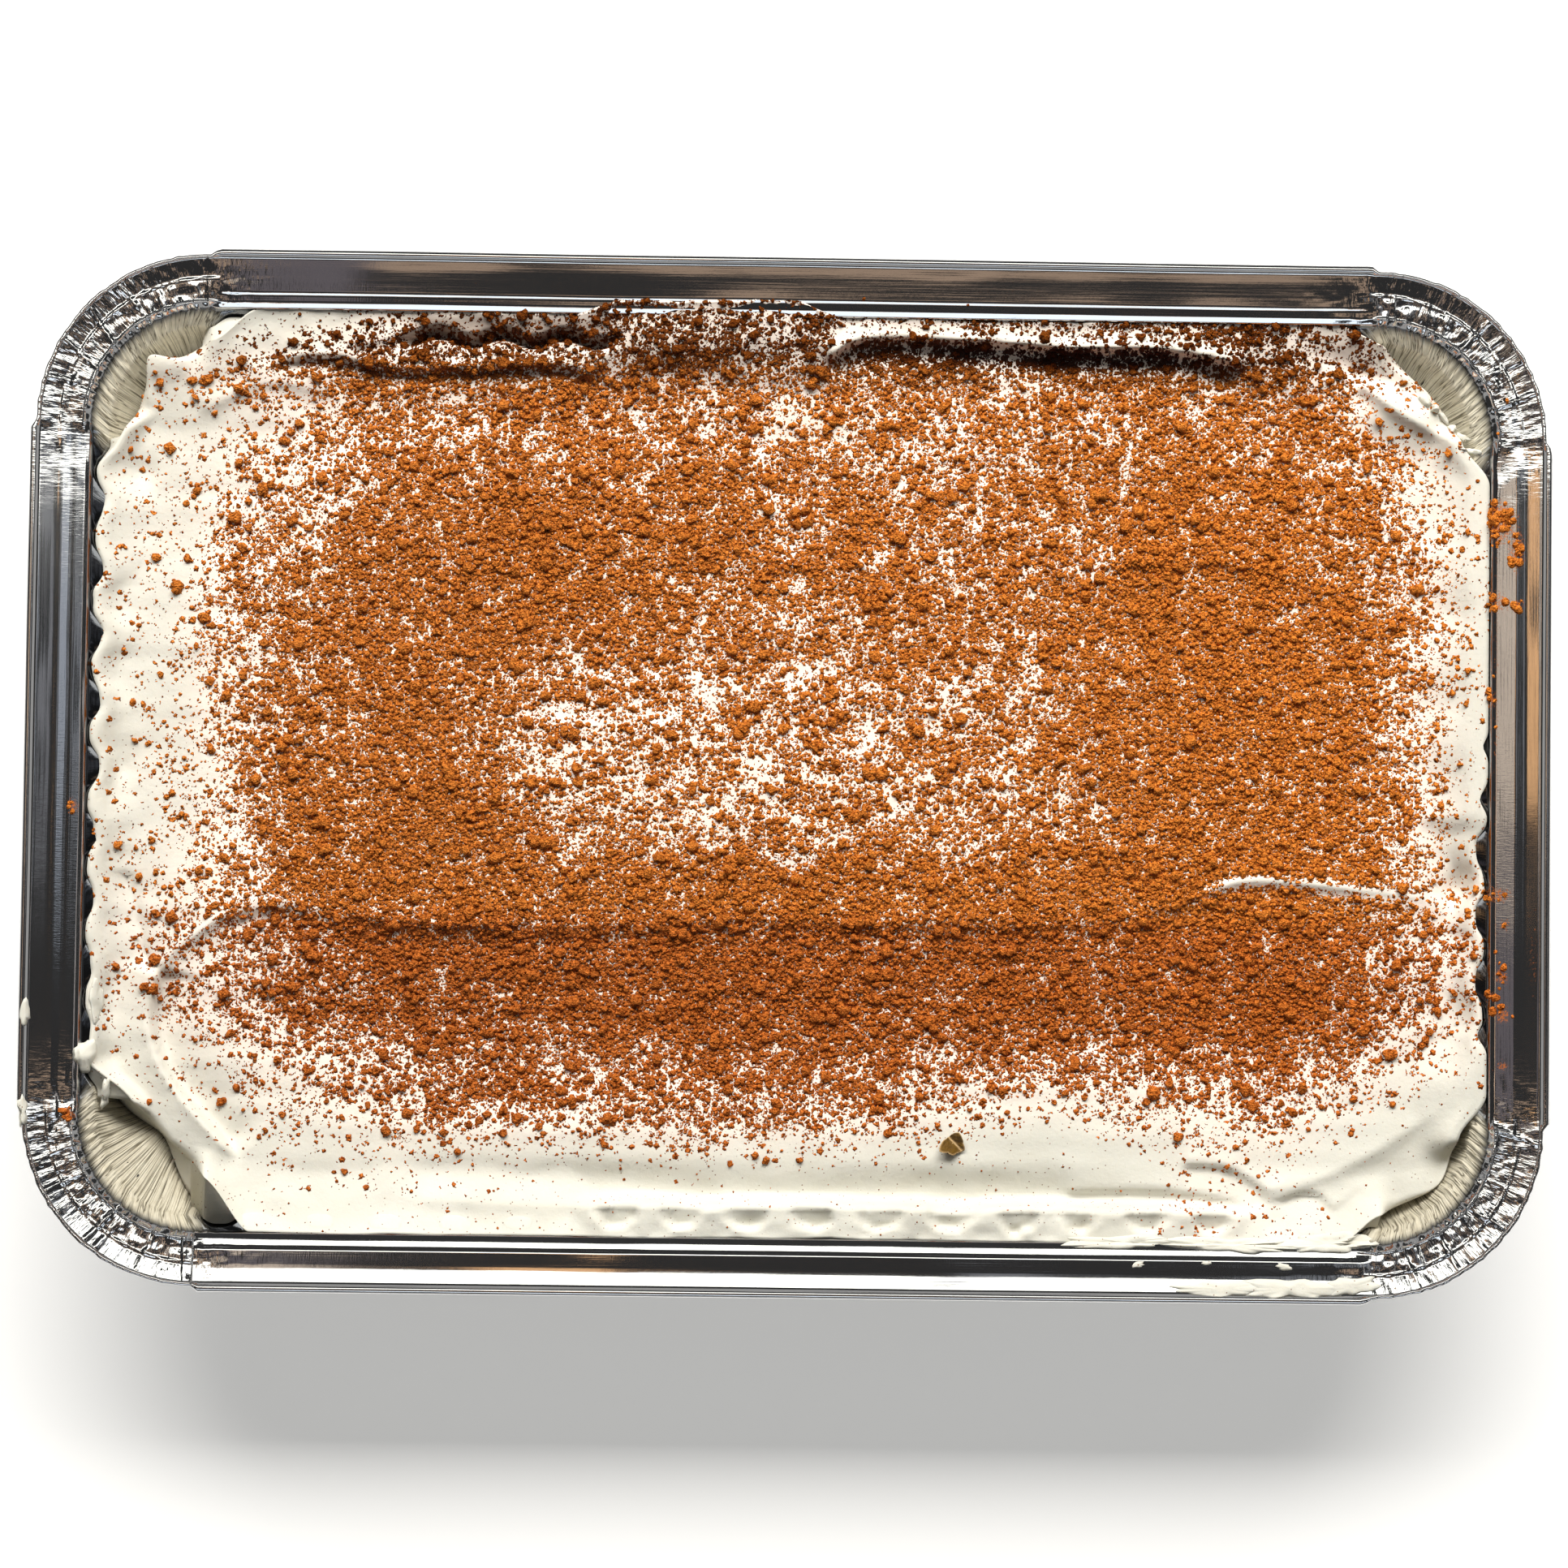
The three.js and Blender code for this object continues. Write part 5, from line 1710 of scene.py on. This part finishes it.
class TiramisuCream(PropertyGroup):
    cream_colour: FloatVectorProperty(
        name="Cream",
        description="Colour of the whipped cream",
        default=linear("#DDDBCF")[:3],
        subtype="COLOR",
    )
    # lighter than the plain cream: painted light against the shade of the lumps, besides the
    # pinkish tint of the cocoa
    dusted_and_lightened_cream: FloatVectorProperty(
        name="Dusted cream",
        description="Cream under a haze of cocoa",
        default=linear("#FFF0E2")[:3],
        subtype="COLOR",
    )
    cocoa_damp: FloatVectorProperty(
        name="Damp cocoa",
        description="Cocoa at the left, where it has drawn moisture",
        default=linear("#F08E3B")[:3],
        subtype="COLOR",
    )
    cocoa_dry: FloatVectorProperty(
        name="Dry cocoa",
        description="Cocoa at the right, still dry",
        default=linear("#FF973B")[:3],
        subtype="COLOR",
    )
    cocoa_amount: FloatProperty(
        name="Cocoa amount",
        description="Share of the usual number of lumps",
        default=1.0,
        subtype="FACTOR",
    )
    cocoa_seed: IntProperty(
        name="Cocoa seed", description="Which random scatter is drawn", default=5
    )


class TiramisuLeaf(PropertyGroup):
    leaf_colour: FloatVectorProperty(
        name="Leaf",
        description="Colour of the dry flake",
        default=linear("#4E3517")[:3],
        subtype="COLOR",
    )


class TiramisuStage(PropertyGroup):
    camera_height: FloatProperty(
        name="Camera height",
        description="From the rim to the camera",
        default=0.8,
        unit="LENGTH",
    )
    key_power: FloatProperty(
        name="Window", description="Power of the light over the back, in watts", default=47.0
    )
    room_light: FloatProperty(
        name="Room light", description="Strength of the light from all round", default=0.03
    )


class TIRAMISU_OT_tray(Operator):
    """Make the foil tray with its fluted walls and pleated corners"""

    bl_idname = "tiramisu.tray"
    bl_label = "Foil tray"

    def execute(self, context):
        make_tray(context.scene.tiramisu_tray)
        return {"FINISHED"}


class TIRAMISU_OT_cream(Operator):
    """Make the cream with its swoops"""

    bl_idname = "tiramisu.cream"
    bl_label = "Cream"

    def execute(self, context):
        make_cream(context.scene.tiramisu_cream)
        return {"FINISHED"}


class TIRAMISU_OT_cocoa(Operator):
    """Scatter the lumps and grains of cocoa over the cream"""

    bl_idname = "tiramisu.cocoa"
    bl_label = "Cocoa"

    def execute(self, context):
        make_cocoa(context.scene.tiramisu_cream)
        return {"FINISHED"}


class TIRAMISU_OT_smears(Operator):
    """Smear cream on the rim and beside the filling"""

    bl_idname = "tiramisu.smears"
    bl_label = "Cream smears"

    def execute(self, context):
        make_smears(context.scene.tiramisu_cream)
        return {"FINISHED"}


class TIRAMISU_OT_leaf(Operator):
    """Lay the flake of dry leaf on the cream"""

    bl_idname = "tiramisu.leaf"
    bl_label = "Leaf flake"

    def execute(self, context):
        make_leaf(context.scene.tiramisu_leaf)
        return {"FINISHED"}


class TIRAMISU_OT_stage(Operator):
    """Make the floor, the lights and the camera"""

    bl_idname = "tiramisu.stage"
    bl_label = "Stage"

    def execute(self, context):
        make_stage(context.scene.tiramisu_stage)
        return {"FINISHED"}


class TIRAMISU_PT_panel(Panel):
    bl_label = "Tiramisu"
    bl_idname = "TIRAMISU_PT_panel"
    bl_space_type = "VIEW_3D"
    bl_region_type = "UI"
    bl_category = "Tiramisu"

    def draw(self, context):
        groups = (
            (context.scene.tiramisu_tray, TIRAMISU_OT_tray),
            (context.scene.tiramisu_cream, TIRAMISU_OT_cream),
            (context.scene.tiramisu_cream, TIRAMISU_OT_cocoa),
            (context.scene.tiramisu_cream, TIRAMISU_OT_smears),
            (context.scene.tiramisu_leaf, TIRAMISU_OT_leaf),
            (context.scene.tiramisu_stage, TIRAMISU_OT_stage),
        )
        for settings, operator in groups:
            box = self.layout.box()
            for name in settings.__annotations__:
                box.prop(settings, name)
            box.operator(operator.bl_idname)


SETTINGS = {
    "tiramisu_tray": TiramisuTray,
    "tiramisu_cream": TiramisuCream,
    "tiramisu_leaf": TiramisuLeaf,
    "tiramisu_stage": TiramisuStage,
}
OPERATORS = (
    TIRAMISU_OT_tray,
    TIRAMISU_OT_cream,
    TIRAMISU_OT_cocoa,
    TIRAMISU_OT_smears,
    TIRAMISU_OT_leaf,
    TIRAMISU_OT_stage,
)


def register():
    for group in SETTINGS.values():
        bpy.utils.register_class(group)
    for made in (*OPERATORS, TIRAMISU_PT_panel):
        bpy.utils.register_class(made)
    for name, group in SETTINGS.items():
        setattr(bpy.types.Scene, name, PointerProperty(type=group))


def unregister():
    for name in SETTINGS:
        delattr(bpy.types.Scene, name)
    for made in (TIRAMISU_PT_panel, *reversed(OPERATORS), *reversed(SETTINGS.values())):
        bpy.utils.unregister_class(made)


def main():
    register()
    bpy.ops.tiramisu.tray()
    bpy.ops.tiramisu.cream()
    bpy.ops.tiramisu.cocoa()
    bpy.ops.tiramisu.smears()
    bpy.ops.tiramisu.leaf()
    bpy.ops.tiramisu.stage()
    bpy.context.view_layer.update()


if __name__ == "__main__":
    main()
